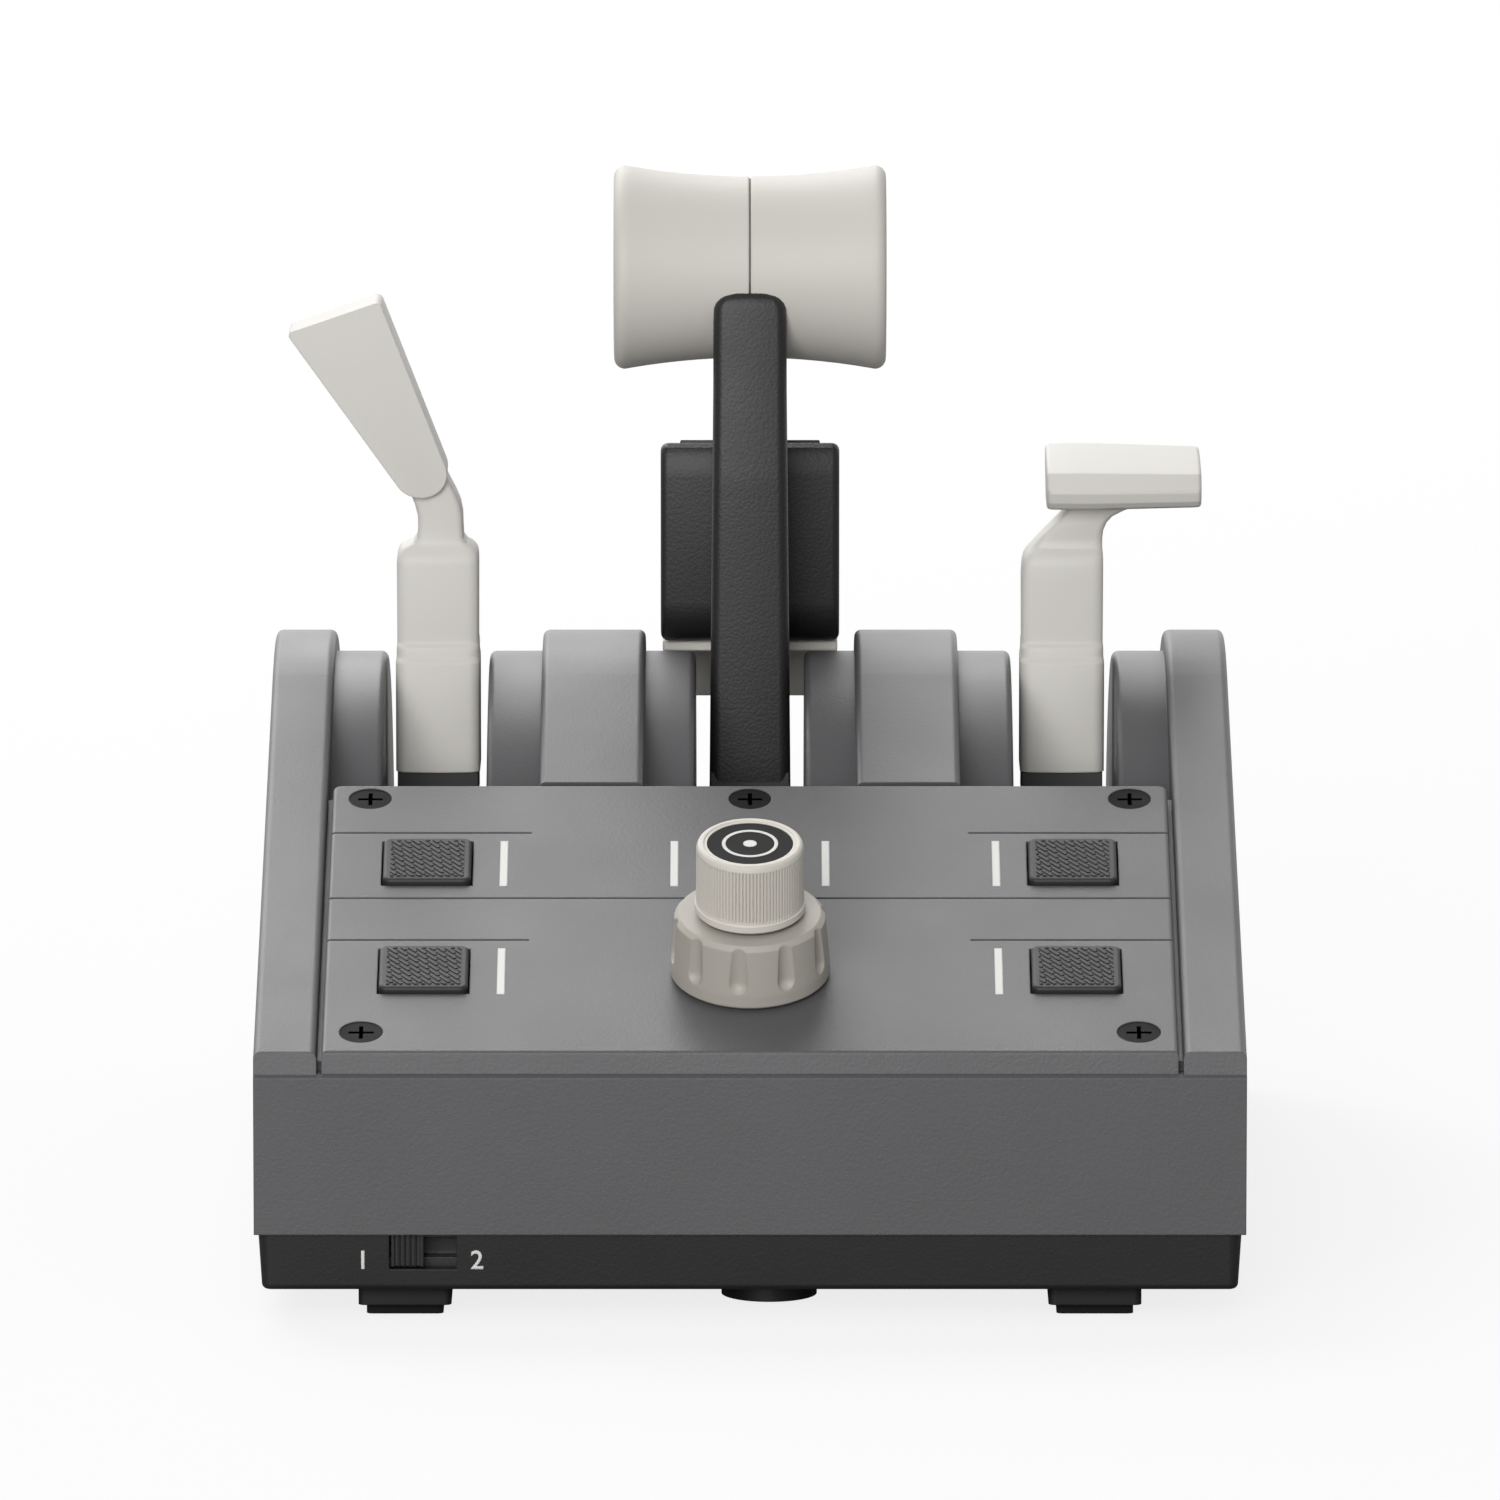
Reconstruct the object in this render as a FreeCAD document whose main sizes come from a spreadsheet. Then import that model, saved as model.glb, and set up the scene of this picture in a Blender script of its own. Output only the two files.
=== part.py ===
import FreeCAD, Part
import math
import os
import Sketcher

# A desktop flight-simulator throttle quadrant: a wedge-shaped console with a sloping control panel,
# three lever slots between arched fins, and a speed-brake, a thrust and a flap lever on one axle.
# Millimetres. X is across the console, +Y points away from the user, +Z is up. The origin lies under
# the middle of the console on the surface that its feet stand on.

DRIVING_SIZES = {
    # console
    "console_width": 165.0,
    "console_depth": 214.0,
    "housing_wall": 2.5,
    "foot_height": 5.0,
    "tray_height": 9.6,
    "tray_wall": 2.2,
    "tray_inset": 0.7,
    "tray_draft": 0.6,
    "panel_band_height": 3.77,
    "ledge_depth": 0.75,
    "ledge_height": 0.5,
    "band_lean": 0.45,
    "slope_angle": 18.75,
    "fin_radius": 66.0,
    "pivot_height": 25.5,
    "shoulder_step": 3.7,
    "fin_edge_radius": 1.2,
    "corner_radius": 1.5,
    "housing_screw_inset": 8.7,
    "housing_screw_length": 18.0,
    "housing_screw_radius": 1.5,
    "housing_boss_radius": 4.0,
    "housing_boss_drop": 2.7670,
    # layout across the console, from the middle outward
    "centre_slot_width": 18.9,
    "inner_shoulder_width": 8.75,
    "middle_shoulder_width": 9.3,
    "side_slot_width": 17.8,
    "outer_shoulder_width": 8.9,
    "cheek_width": 10.5,
    "slot_rear_angle": 66.0,
    "well_front_angle": 68.7,
    # control panel
    "panel_thickness": 3.0,
    "panel_side_gap": 0.85,
    "panel_rear_gap": 0.9,
    "panel_screw_side": 6.45,
    "panel_screw_front": 6.7,
    "panel_screw_rear": 5.0,
    "panel_screw_head_radius": 3.6,
    "panel_screw_radius": 1.7,
    "panel_screw_length": 9.0,
    "panel_screw_sunk": 0.5,
    "screw_recess_half": 2.1,
    "screw_recess_width": 0.7,
    "screw_recess_depth": 1.1,
    "panel_corner_radius": 1.6,
    "panel_rim_radius": 0.7,
    "line_above_upper_row": 10.5,
    "middle_line_share": 0.565194,
    "line_inner_end": 17.5,
    "groove_width": 0.55,
    "groove_depth": 0.4,
    "deck_margin": 13.5,
    # push-buttons
    "button_side": 14.9,
    "button_margin": 16.55,
    "upper_row_share": 0.698942,
    "lower_row_share": 0.295540,
    "button_gap": 0.3,
    "button_proud": 1.0,
    "button_travel": 0.8,
    "button_flange": 0.9,
    "board_depth": 11.0,
    "board_thickness": 1.6,
    "board_side_gap": 6.5,
    "board_beyond_rows": 11.3,
    "board_screw_beyond_rows": 5.3,
    "board_screw_inward": 18.0,
    "switch_side": 6.4,
    "switch_height": 3.6,
    "stem_radius": 1.75,
    # rotary knobs
    "knob_row_share": 0.289069,
    "ring_radius": 13.35,
    "ring_top_radius": 12.65,
    "ring_height": 11.3,
    "ring_lift": 0.4,
    "ring_shaft_radius": 4.0,
    "scallop_radius": 1.9,
    "scallop_depth": 1.15,
    "scallop_base": 2.7,
    "scallop_turn": 8.4,
    "knob_radius": 9.25,
    "knob_height": 12.6,
    "knob_gap": 0.7,
    "knob_travel": 0.5,
    "cap_radius": 7.1,
    "encoder_shaft_radius": 3.0,
    "bush_radius": 5.0,
    "encoder_side": 14.0,
    "encoder_height": 6.3,
    # slide switch
    "slide_inset": 28.1,
    "slide_window_width": 11.2,
    "slide_window_height": 6.0,
    "slide_travel": 5.2,
    # feet and mount
    "foot_side_inset": 25.0,
    "foot_block_width": 15.5,
    "foot_length": 20.0,
    "foot_inset": 5.0,
    "rubber_height": 1.7,
    "rubber_width": 12.8,
    "boss_radius": 8.0,
    "boss_across": 3.2,
    "boss_inset": 21.0,
    "boss_clearance": 0.6,
    "mount_thread_radius": 3.0,
    "mount_thread_length": 8.0,
    "insert_wall": 1.2,
    # lever mechanism
    "axle_radius": 3.0,
    "bush_wall": 1.5,
    "hub_radius": 9.0,
    "hub_half_width": 7.0,
    "web_thickness": 6.0,
    "washer_thickness": 1.4,
    "yoke_cheek": 3.5,
    "yoke_half_length": 20.0,
    "channel_radius": 37.5,
    "channel_thickness": 2.0,
    "channel_front_angle": 55.0,
    "lever_travel": 36.0,
    "lever_root": 43.0,
    # side levers
    "stem_width": 14.5,
    "stem_depth": 13.0,
    "collar_step": 1.5,
    "collar_below_fin": 7.1,
    "collar_height": 4.8,
    "stem_above_fin": 14.6,
    "stem_corner_radius": 2.0,
    "stem_shoulder_radius": 1.8,
    "neck_depth": 9.0,
    "neck_radius": 1.2,
    "handle_depth": 12.0,
    "paddle_tip_across": 26.4,
    "paddle_tip_height": 38.1,
    "paddle_heel_across": 8.6,
    "paddle_heel_height": 12.6,
    "paddle_foot_across": 3.4,
    "paddle_foot_height": 9.4,
    "paddle_toe_across": 1.2,
    "paddle_toe_height": 14.0,
    "paddle_crown_across": 10.6,
    "paddle_crown_height": 44.0,
    "paddle_foot_radius": 5.0,
    "paddle_corner_radius": 1.6,
    "paddle_rim_radius": 1.3,
    "wing_left": 2.8,
    "wing_length": 27.2,
    "wing_drop": 6.8,
    "wing_flat_front": 7.5,
    "wing_flat_rear": 5.0,
    "wing_tail_back": 13.5,
    "wing_tail_low": 8.6,
    "wing_tail_high": 11.4,
    "wing_tail_radius": 2.8,
    "wing_nose": 10.8,
    "wing_nose_height": 5.6,
    "wing_nose_radius": 5.0,
    "wing_height": 9.2,
    # thrust lever
    "bar_width": 13.6,
    "bar_depth": 15.0,
    "bar_bend_above_fin": 26.5,
    "bar_top_above_fin": 61.5,
    "bar_edge_radius": 1.6,
    "grip_above_fin": 64.3,
    "grip_setback": 12.0,
    "grip_half_length": 23.65,
    "grip_waist_radius": 15.75,
    "grip_end_radius": 17.7,
    "grip_rim_radius": 1.9,
    "grip_parting_gap": 0.24,
    "end_button_radius": 5.5,
    # reverse-thrust handle
    "reverser_half_width": 15.6,
    "reverser_near": 13.0,
    "reverser_far": 30.0,
    "reverser_drop": 0.5,
    "reverser_height": 33.7,
    "reverser_pin_back": 18.0,
    "reverser_pin_below_top": 5.0,
    "reverser_pin_radius": 2.0,
    "tail_half_width": 15.3,
    "tail_clearance": 2.3,
    # fits
    "running_gap": 0.05,
    "loose_gap": 0.3,
    # inside the tray
    "yoke_base": 2.5,
    "yoke_screw_across": 4.2,
    "yoke_screw_along": 14.0,
    "ballast_half_width": 44.0,
    "ballast_setback": 32.0,
    "ballast_length": 50.0,
    "ballast_thickness": 3.0,
    "standoff_height": 2.0,
    "main_board_half_width": 40.0,
    "main_board_length": 35.0,
    "main_board_rear_gap": 5.0,
    "inner_screw_inset": 4.5,
    "pan_head_radius": 2.8,
    "pan_head_height": 1.6,
    "socket_across": -22.0,
    "socket_half_width": 4.5,
    "socket_wall": 0.4,
    "socket_setback": 2.0,
    "socket_length": 9.0,
    "socket_window_half": 4.9,
}

document = FreeCAD.newDocument("ThrottleQuadrant")
sheet = document.addObject("Spreadsheet::Sheet", "Sizes")
for row, (alias, number) in enumerate(DRIVING_SIZES.items(), start=1):
    sheet.set("A%d" % row, alias)
    sheet.set("B%d" % row, str(number))
    sheet.setAlias("B%d" % row, alias)
document.recompute()


class Size:
    """A number together with the expression that ties it to the sheet."""

    def __init__(self, value, text):
        self.value = value
        self.text = text

    def __add__(self, other):
        other = as_size(other)
        return Size(self.value + other.value, "(%s + %s)" % (self.text, other.text))

    def __sub__(self, other):
        other = as_size(other)
        return Size(self.value - other.value, "(%s - %s)" % (self.text, other.text))

    def __mul__(self, other):
        other = as_size(other)
        return Size(self.value * other.value, "(%s * %s)" % (self.text, other.text))

    def __truediv__(self, other):
        other = as_size(other)
        return Size(self.value / other.value, "(%s / %s)" % (self.text, other.text))

    def __radd__(self, other):
        return as_size(other) + self

    def __rsub__(self, other):
        return as_size(other) - self

    def __rmul__(self, other):
        return as_size(other) * self

    def __rtruediv__(self, other):
        return as_size(other) / self

    def __neg__(self):
        return as_size(0.0) - self


def as_size(number):
    return number if isinstance(number, Size) else Size(float(number), "(%.6f)" % number)


def size(alias):
    return Size(float(sheet.get(alias)), "Sizes." + alias)


def sine(angle):
    return Size(math.sin(math.radians(angle.value)), "sin(%s)" % angle.text)


def cosine(angle):
    return Size(math.cos(math.radians(angle.value)), "cos(%s)" % angle.text)


def bind(target, path, number):
    target.setExpression(path, as_size(number).text)


# ---------------------------------------------------------------- modelling helpers

X_AXIS = FreeCAD.Vector(1, 0, 0)
Y_AXIS = FreeCAD.Vector(0, 1, 0)
TURNS = {
    "z": FreeCAD.Rotation(),
    "x": FreeCAD.Rotation(Y_AXIS, 90),
    "-x": FreeCAD.Rotation(Y_AXIS, -90),
    "y": FreeCAD.Rotation(X_AXIS, -90),
    "slope": FreeCAD.Rotation(X_AXIS, 1),
}
NODES = []


def place(target, at, axis="z"):
    """Puts an object at three sizes, with its own +Z turned to the named direction."""
    target.Placement = FreeCAD.Placement(FreeCAD.Vector(), TURNS[axis])
    for letter, number in zip("xyz", at):
        bind(target, "Placement.Base." + letter, number)
    if axis == "slope":
        bind(target, "Placement.Rotation.Angle", size("slope_angle"))


def new_piece(name, at=(0, 0, 0), axis="z"):
    """Starts the body of one physical piece, with its own frame."""
    body = document.addObject("PartDesign::Body", name)
    body.Label = name
    place(body, at, axis)
    NODES.append(body)
    return body


def origin_feature(body, role):
    return next(item for item in body.Origin.OriginFeatures if item.Role == role)


def new_sketch(body, plane, lift=0.0):
    sketch = body.newObject("Sketcher::SketchObject", body.Name + "_sketch")
    sketch.AttachmentSupport = (origin_feature(body, plane), "")
    sketch.MapMode = "FlatFace"
    bind(sketch, "AttachmentOffset.Base.z", lift)
    return sketch


def fix_point(sketch, edge, end, across, up):
    """Holds one end of an edge at two sizes measured from the sketch's origin."""
    for kind, number in (("DistanceX", as_size(across)), ("DistanceY", as_size(up))):
        index = sketch.addConstraint(Sketcher.Constraint(kind, edge, end, number.value))
        bind(sketch, "Constraints[%d]" % index, number)


def arc_through(start, finish, radius, turns_left):
    """The shorter arc between two points. It comes with the numbers of its first and last ends."""
    chord = finish - start
    middle = (start + finish) * 0.5
    rise = math.sqrt(max(radius ** 2 - (chord.Length / 2) ** 2, 0.0))
    side = 1 if turns_left else -1
    centre = middle + FreeCAD.Vector(-chord.y, chord.x, 0).normalize() * rise * side
    first, last = (start, finish) if turns_left else (finish, start)
    low = math.atan2(first.y - centre.y, first.x - centre.x)
    high = math.atan2(last.y - centre.y, last.x - centre.x)
    circle = Part.Circle(centre, FreeCAD.Vector(0, 0, 1), radius)
    ends = (1, 2) if turns_left else (2, 1)
    return Part.ArcOfCircle(circle, low, high), ends


def outline(body, plane, corners, lift=0.0):
    """A closed profile. A corner is (across, up), or (across, up, radius, turns_left) where the edge
    that leads to it is an arc."""
    sketch = new_sketch(body, plane, lift)
    points = [FreeCAD.Vector(as_size(corner[0]).value, as_size(corner[1]).value, 0) for corner in corners]
    ends = []
    for index, corner in enumerate(corners):
        start, finish = points[index - 1], points[index]
        if len(corner) == 2:
            sketch.addGeometry(Part.LineSegment(start, finish), False)
            ends.append((1, 2))
        else:
            arc, arc_ends = arc_through(start, finish, as_size(corner[2]).value, corner[3])
            edge = sketch.addGeometry(arc, False)
            ends.append(arc_ends)
            rule = sketch.addConstraint(Sketcher.Constraint("Radius", edge, as_size(corner[2]).value))
            bind(sketch, "Constraints[%d]" % rule, corner[2])
    for index, corner in enumerate(corners):
        following = (index + 1) % len(corners)
        joint = Sketcher.Constraint("Coincident", index, ends[index][1], following, ends[following][0])
        sketch.addConstraint(joint)
        fix_point(sketch, index, ends[index][1], corner[0], corner[1])
    return sketch


def rectangle(body, plane, left, right, low, high, lift=0.0):
    return outline(body, plane, [(left, low), (right, low), (right, high), (left, high)], lift)


def rounded_rectangle(body, half_across, half_up, radius, lift=0.0):
    """A rectangle round the sketch's origin with round corners."""
    corners = []
    for right, top in ((-1, -1), (1, -1), (1, 1), (-1, 1)):
        beside = (right * (half_across - radius), top * half_up)
        above = (right * half_across, top * (half_up - radius))
        first, second = (beside, above) if right * top < 0 else (above, beside)
        corners.append(first)
        corners.append((*second, radius, True))
    return outline(body, "XY_Plane", corners, lift)


def extrude(sketch, kind, length, symmetric=False):
    body = sketch.getParentGeoFeatureGroup()
    feature = body.newObject("PartDesign::" + kind, sketch.Name + "_" + kind.lower())
    feature.Profile = sketch
    feature.Reversed = kind == "Pocket" and not symmetric
    if symmetric:
        feature.SideType = "Symmetric"
    bind(feature, "Length", length)
    return feature


def pad(sketch, length, symmetric=False):
    """Adds material along the sketch's normal, or to both sides of it."""
    return extrude(sketch, "Pad", length, symmetric)


def pocket(sketch, length, symmetric=False):
    """Removes material along the sketch's normal, or to both sides of it."""
    return extrude(sketch, "Pocket", length, symmetric)


def revolve(sketch, axis="V_Axis"):
    """Turns a profile once round one of its sketch's axes."""
    body = sketch.getParentGeoFeatureGroup()
    feature = body.newObject("PartDesign::Revolution", sketch.Name + "_turned")
    feature.Profile = sketch
    feature.ReferenceAxis = (sketch, [axis])
    feature.Angle = 360
    return feature


def primitive(body, kind, sizes, at, axis):
    feature = body.newObject("PartDesign::" + kind, body.Name + "_" + kind.lower())
    for name, number in sizes.items():
        bind(feature, name, number)
    place(feature, at, axis)
    return feature


def add_cylinder(body, radius, length, at, axis="z"):
    return primitive(body, "AdditiveCylinder", {"Radius": radius, "Height": length}, at, axis)


def cut_cylinder(body, radius, length, at, axis="z"):
    return primitive(body, "SubtractiveCylinder", {"Radius": radius, "Height": length}, at, axis)


def add_box(body, low, high, axis="z"):
    sizes = dict(zip(("Length", "Width", "Height"), (as_size(b) - a for a, b in zip(low, high))))
    return primitive(body, "AdditiveBox", sizes, low, axis)


def cut_box(body, low, high, axis="z"):
    sizes = dict(zip(("Length", "Width", "Height"), (as_size(b) - a for a, b in zip(low, high))))
    return primitive(body, "SubtractiveBox", sizes, low, axis)


def add_cone(body, low_radius, high_radius, length, at):
    sizes = {"Radius1": low_radius, "Radius2": high_radius, "Height": length}
    return primitive(body, "AdditiveCone", sizes, at, "z")


def cut_cone(body, low_radius, high_radius, length, at):
    sizes = {"Radius1": low_radius, "Radius2": high_radius, "Height": length}
    return primitive(body, "SubtractiveCone", sizes, at, "z")


def round_edges(body, radius, wanted):
    """Rounds the edges of the body's last feature that a test picks by their middle point."""
    document.recompute()
    base = body.Tip
    edges = []
    for number, edge in enumerate(base.Shape.Edges, start=1):
        middle = edge.valueAt((edge.FirstParameter + edge.LastParameter) / 2)
        if wanted(middle, edge):
            edges.append("Edge%d" % number)
    feature = body.newObject("PartDesign::Fillet", body.Name + "_rounded")
    feature.Base = (base, edges)
    bind(feature, "Radius", radius)
    return feature


# ---------------------------------------------------------------- shared places

half_width = size("console_width") / 2
front = -size("console_depth") / 2
rear = size("console_depth") / 2
wall = size("housing_wall")
loose = size("loose_gap")
running = size("running_gap")
tray_floor = size("foot_height") + size("tray_wall")
joint_height = size("foot_height") + size("tray_height")
pivot_y = rear - size("fin_radius")
pivot_z = size("pivot_height")
shoulder_radius = size("fin_radius") - size("shoulder_step")
slope_sine = sine(size("slope_angle"))
slope_cosine = cosine(size("slope_angle"))

# the slope is tangent to the fins' arc and starts at the top of the panel's front band
slope_y = front + size("ledge_depth") + size("band_lean")
slope_z = pivot_z + (size("fin_radius") + slope_sine * (slope_y - pivot_y)) / slope_cosine
fascia_top = slope_z - size("panel_band_height") - size("ledge_height")

inner_shoulder = size("centre_slot_width") / 2
fin_inner = inner_shoulder + size("inner_shoulder_width")
cheek_inner = half_width - size("cheek_width")
slot_outer = cheek_inner - size("outer_shoulder_width")
slot_inner = slot_outer - size("side_slot_width")
fin_outer = slot_inner - size("middle_shoulder_width")
tall_fin_width = fin_outer - fin_inner
lever_across = (slot_inner + slot_outer) / 2
panel_half_width = cheek_inner - size("panel_side_gap")
button_across = panel_half_width - size("button_margin")
slide_centre = size("slide_inset") - half_width

# the well behind the panel starts where its front wall meets the shoulders' arc
well_front = pivot_y - shoulder_radius * sine(size("well_front_angle"))
panel_length = (well_front - slope_y - size("panel_thickness") * slope_sine) / slope_cosine

# the rows of controls keep their shares of the panel's length
button_row_upper = panel_length * size("upper_row_share")
button_row_lower = panel_length * size("lower_row_share")
middle_row = (button_row_upper + button_row_lower) / 2
half_rows = (button_row_upper - button_row_lower) / 2
knob_row = panel_length * size("knob_row_share")

# heights on the levers, measured from their axle
fin_radius = size("fin_radius")
collar_low = fin_radius - size("collar_below_fin")
collar_high = collar_low + size("collar_height")
stem_top = fin_radius + size("stem_above_fin")
bar_bend = fin_radius + size("bar_bend_above_fin")
bar_top = fin_radius + size("bar_top_above_fin")
grip_height = fin_radius + size("grip_above_fin")
reverser_bottom = shoulder_radius - size("reverser_drop")
reverser_top = reverser_bottom + size("reverser_height")
reverser_pin_height = reverser_top - size("reverser_pin_below_top")


def on_slope(along, above):
    """The Y and Z of a point measured up the slope and square to it."""
    return (slope_y + along * slope_cosine - above * slope_sine,
            slope_z + along * slope_sine + above * slope_cosine)


def about_pivot(radius, angle):
    """The Y and Z of a point at a radius and an angle behind the vertical, from the lever axle."""
    return (pivot_y + radius * sine(angle), pivot_z + radius * cosine(angle))


def both_sides(start, width):
    """The low X of a strip and of its mirror image."""
    return (start, -start - width)


# ---------------------------------------------------------------- upper housing

def housing_screw_places():
    inset = size("housing_screw_inset")
    across = half_width - inset
    return [(side * across, along) for side in (-1, 1) for along in (front + inset, rear - inset)]


def make_upper_housing():
    body = new_piece("upper_housing")
    fin = size("fin_radius")
    tangent = (pivot_y - fin * slope_sine, pivot_z + fin * slope_cosine)
    side_profile = [
        (front, joint_height),
        (front, fascia_top),
        (front + size("ledge_depth"), fascia_top + size("ledge_height")),
        (slope_y, slope_z),
        tangent,
        (rear, pivot_z, fin, False),
        (rear, joint_height),
    ]
    pad(outline(body, "YZ_Plane", side_profile), size("console_width"), symmetric=True)

    # wells down to the axle's height, which leave the cheeks and the tall fins standing
    clear = pivot_z + fin + 5
    shoulders = cheek_inner - fin_outer
    pocket(rectangle(body, "YZ_Plane", well_front, rear + 5, pivot_z, clear), fin_inner * 2, symmetric=True)
    for low in both_sides(fin_outer, shoulders):
        pocket(rectangle(body, "YZ_Plane", well_front, rear + 5, pivot_z, clear, low), shoulders)

    # lower concentric fins on both sides of each slot
    half_disc = [
        (pivot_y - shoulder_radius, pivot_z),
        (pivot_y, pivot_z + shoulder_radius, shoulder_radius, False),
        (pivot_y + shoulder_radius, pivot_z, shoulder_radius, False),
    ]
    pad(outline(body, "YZ_Plane", half_disc), cheek_inner * 2, symmetric=True)

    # seat of the control panel, with room for its folded lip
    seat_end = panel_length + size("panel_rear_gap")
    depth = size("panel_thickness")
    lip_inside = front + size("ledge_depth") + size("band_lean") + depth
    lip_meets_deck = slope_z + (lip_inside - slope_y) * slope_sine / slope_cosine - depth / slope_cosine
    seat = [
        (front - 5, fascia_top + size("ledge_height")),
        (lip_inside, fascia_top + size("ledge_height")),
        (lip_inside, lip_meets_deck),
        on_slope(seat_end, -depth),
        on_slope(seat_end, as_size(12)),
        on_slope(as_size(-12), as_size(12)),
    ]
    pocket(outline(body, "YZ_Plane", seat), cheek_inner * 2, symmetric=True)

    # lever slots, open from the well's front wall to their radial rear ends
    slot_end_low = about_pivot(as_size(30), size("slot_rear_angle"))
    slot_end_high = about_pivot(fin + 6, size("slot_rear_angle"))
    slot = [
        (well_front, pivot_z),
        (well_front, clear),
        (slot_end_high[0], clear),
        slot_end_high,
        slot_end_low,
        (slot_end_low[0], pivot_z),
    ]
    pocket(outline(body, "YZ_Plane", slot), size("centre_slot_width"), symmetric=True)
    for low in both_sides(slot_inner, size("side_slot_width")):
        pocket(outline(body, "YZ_Plane", slot, low), size("side_slot_width"))

    # round the fins before the shell is hollowed
    def on_fin(middle):
        """True at the free upper edges of the cheeks and the tall fins."""
        across = abs(middle.x)
        free = min(abs(across - side.value) for side in (half_width, fin_outer, fin_inner)) < 0.1
        beside_well = abs(across - cheek_inner.value) < 0.1 and middle.y > well_front.value + 1
        return free or beside_well

    def on_shoulder(middle):
        return min(abs(abs(middle.x) - side.value) for side in (slot_outer, slot_inner, inner_shoulder)) < 0.1

    def fin_edge(middle, edge):
        box = edge.BoundBox
        runs_back = box.XLength < 0.01 and box.YLength > 25
        if not runs_back or middle.z < pivot_z.value + 1 or middle.y < front.value + 2:
            return False
        distance = math.hypot(middle.y - pivot_y.value, middle.z - pivot_z.value)
        if distance > fin.value - 0.1:
            return on_fin(middle)
        return distance > shoulder_radius.value - 0.1 and on_shoulder(middle)

    round_edges(body, size("fin_edge_radius"), fin_edge)

    # cavity under the deck and the channels
    depth_inside = depth + wall
    hub_ceiling = pivot_z + size("hub_radius") + 1
    shoulder_inside = shoulder_radius - wall
    deck_front = front + wall
    under_deck = slope_z + (deck_front - slope_y) * slope_sine / slope_cosine - depth_inside / slope_cosine
    well_inside = well_front - wall
    under_well = slope_z + (well_inside - slope_y) * slope_sine / slope_cosine - depth_inside / slope_cosine
    lip_ceiling = fascia_top + size("ledge_height") - wall
    behind_lip = lip_inside + wall
    under_lip = slope_z + (behind_lip - slope_y) * slope_sine / slope_cosine - depth_inside / slope_cosine
    cavity = [
        (deck_front, joint_height - 5),
        (deck_front, lip_ceiling),
        (behind_lip, lip_ceiling),
        (behind_lip, under_lip),
        (well_inside, under_well),
        (well_inside, hub_ceiling),
        (pivot_y + shoulder_inside - 1, hub_ceiling),
        (pivot_y + shoulder_inside - 1, pivot_z - wall),
        (rear - wall, pivot_z - wall),
        (rear - wall, joint_height - 5),
    ]
    inside_width = size("console_width") - wall * 2
    pocket(outline(body, "YZ_Plane", cavity), inside_width, symmetric=True)

    # hollows of the humps between the slots and of the cheeks
    hollow_disc = [
        (pivot_y - shoulder_inside, pivot_z),
        (pivot_y, pivot_z + shoulder_inside, shoulder_inside, False),
        (pivot_y + shoulder_inside, pivot_z, shoulder_inside, False),
    ]
    hump = slot_inner - inner_shoulder - wall * 2
    cheek = half_width - slot_outer - wall * 2
    for start, width in ((inner_shoulder + wall, hump), (slot_outer + wall, cheek)):
        for low in both_sides(start, width):
            pocket(outline(body, "YZ_Plane", hollow_disc, low), width)

    # hollows of the tall fins and of the cheeks' upper part
    fin_inside = fin - wall
    fin_front = well_front + wall + size("panel_rear_gap")
    fin_front_z = (slope_z + (fin_front - slope_y) * slope_sine / slope_cosine - wall / slope_cosine)
    fin_hollow = [
        (fin_front, pivot_z),
        (fin_front, fin_front_z),
        (pivot_y - fin_inside * slope_sine, pivot_z + fin_inside * slope_cosine),
        (pivot_y + fin_inside, pivot_z, fin_inside, False),
    ]
    tall = tall_fin_width - wall * 2
    cheek_top = half_width - cheek_inner - wall * 2
    for start, width in ((fin_inner + wall, tall), (cheek_inner + wall, cheek_top)):
        for low in both_sides(start, width):
            pocket(outline(body, "YZ_Plane", fin_hollow, low), width)

    # hollow behind the slots
    end_angle = size("slot_rear_angle") + 3
    slot_back_low = about_pivot(as_size(38), end_angle)
    slot_back_high = about_pivot(shoulder_inside, end_angle)
    slot_back = [
        (slot_back_low[0], pivot_z),
        slot_back_low,
        slot_back_high,
        (pivot_y + shoulder_inside, pivot_z, shoulder_inside, False),
    ]
    for low, width in ((-inner_shoulder - wall, size("centre_slot_width") + wall * 2),
                       (slot_inner - wall, size("side_slot_width") + wall * 2),
                       (-slot_outer - wall, size("side_slot_width") + wall * 2)):
        pocket(outline(body, "YZ_Plane", slot_back, low), width)

    # opening in the deck under the panel, for the buttons and the rotary switch
    margin = size("deck_margin")
    window_half = panel_half_width - 3.5
    low_corner = (-window_half, *on_slope(margin, -depth_inside - 1))
    window = primitive(body, "SubtractiveBox", {
        "Length": window_half * 2,
        "Width": panel_length - margin * 2 + 1,
        "Height": wall + 2,
    }, low_corner, "slope")
    window.Label = "deck_window"

    # screw bosses for the panel and the tray, each with its pilot hole
    for across, along in panel_screw_places():
        add_cylinder(body, 3.4, 7.0, (across, *on_slope(along, -depth - 7.0)), "slope")
        cut_cylinder(body, size("panel_screw_radius") + running, 8.0,
                     (across, *on_slope(along, -depth - 7.5)), "slope")
    boss_length = slope_z - joint_height - size("housing_boss_drop")
    pilot = size("housing_screw_radius") + running
    for across, along in housing_screw_places():
        add_cylinder(body, size("housing_boss_radius"), boss_length, (across, along, joint_height))
        cut_cylinder(body, pilot, 16.0, (across, along, joint_height - 1))


def panel_screw_places():
    along_rear = panel_length - size("panel_screw_rear")
    across = panel_half_width - size("panel_screw_side")
    rows = [(side * across, along) for side in (-1, 1) for along in (size("panel_screw_front"), along_rear)]
    return rows + [(as_size(0), along_rear)]


# ---------------------------------------------------------------- base tray

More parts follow.
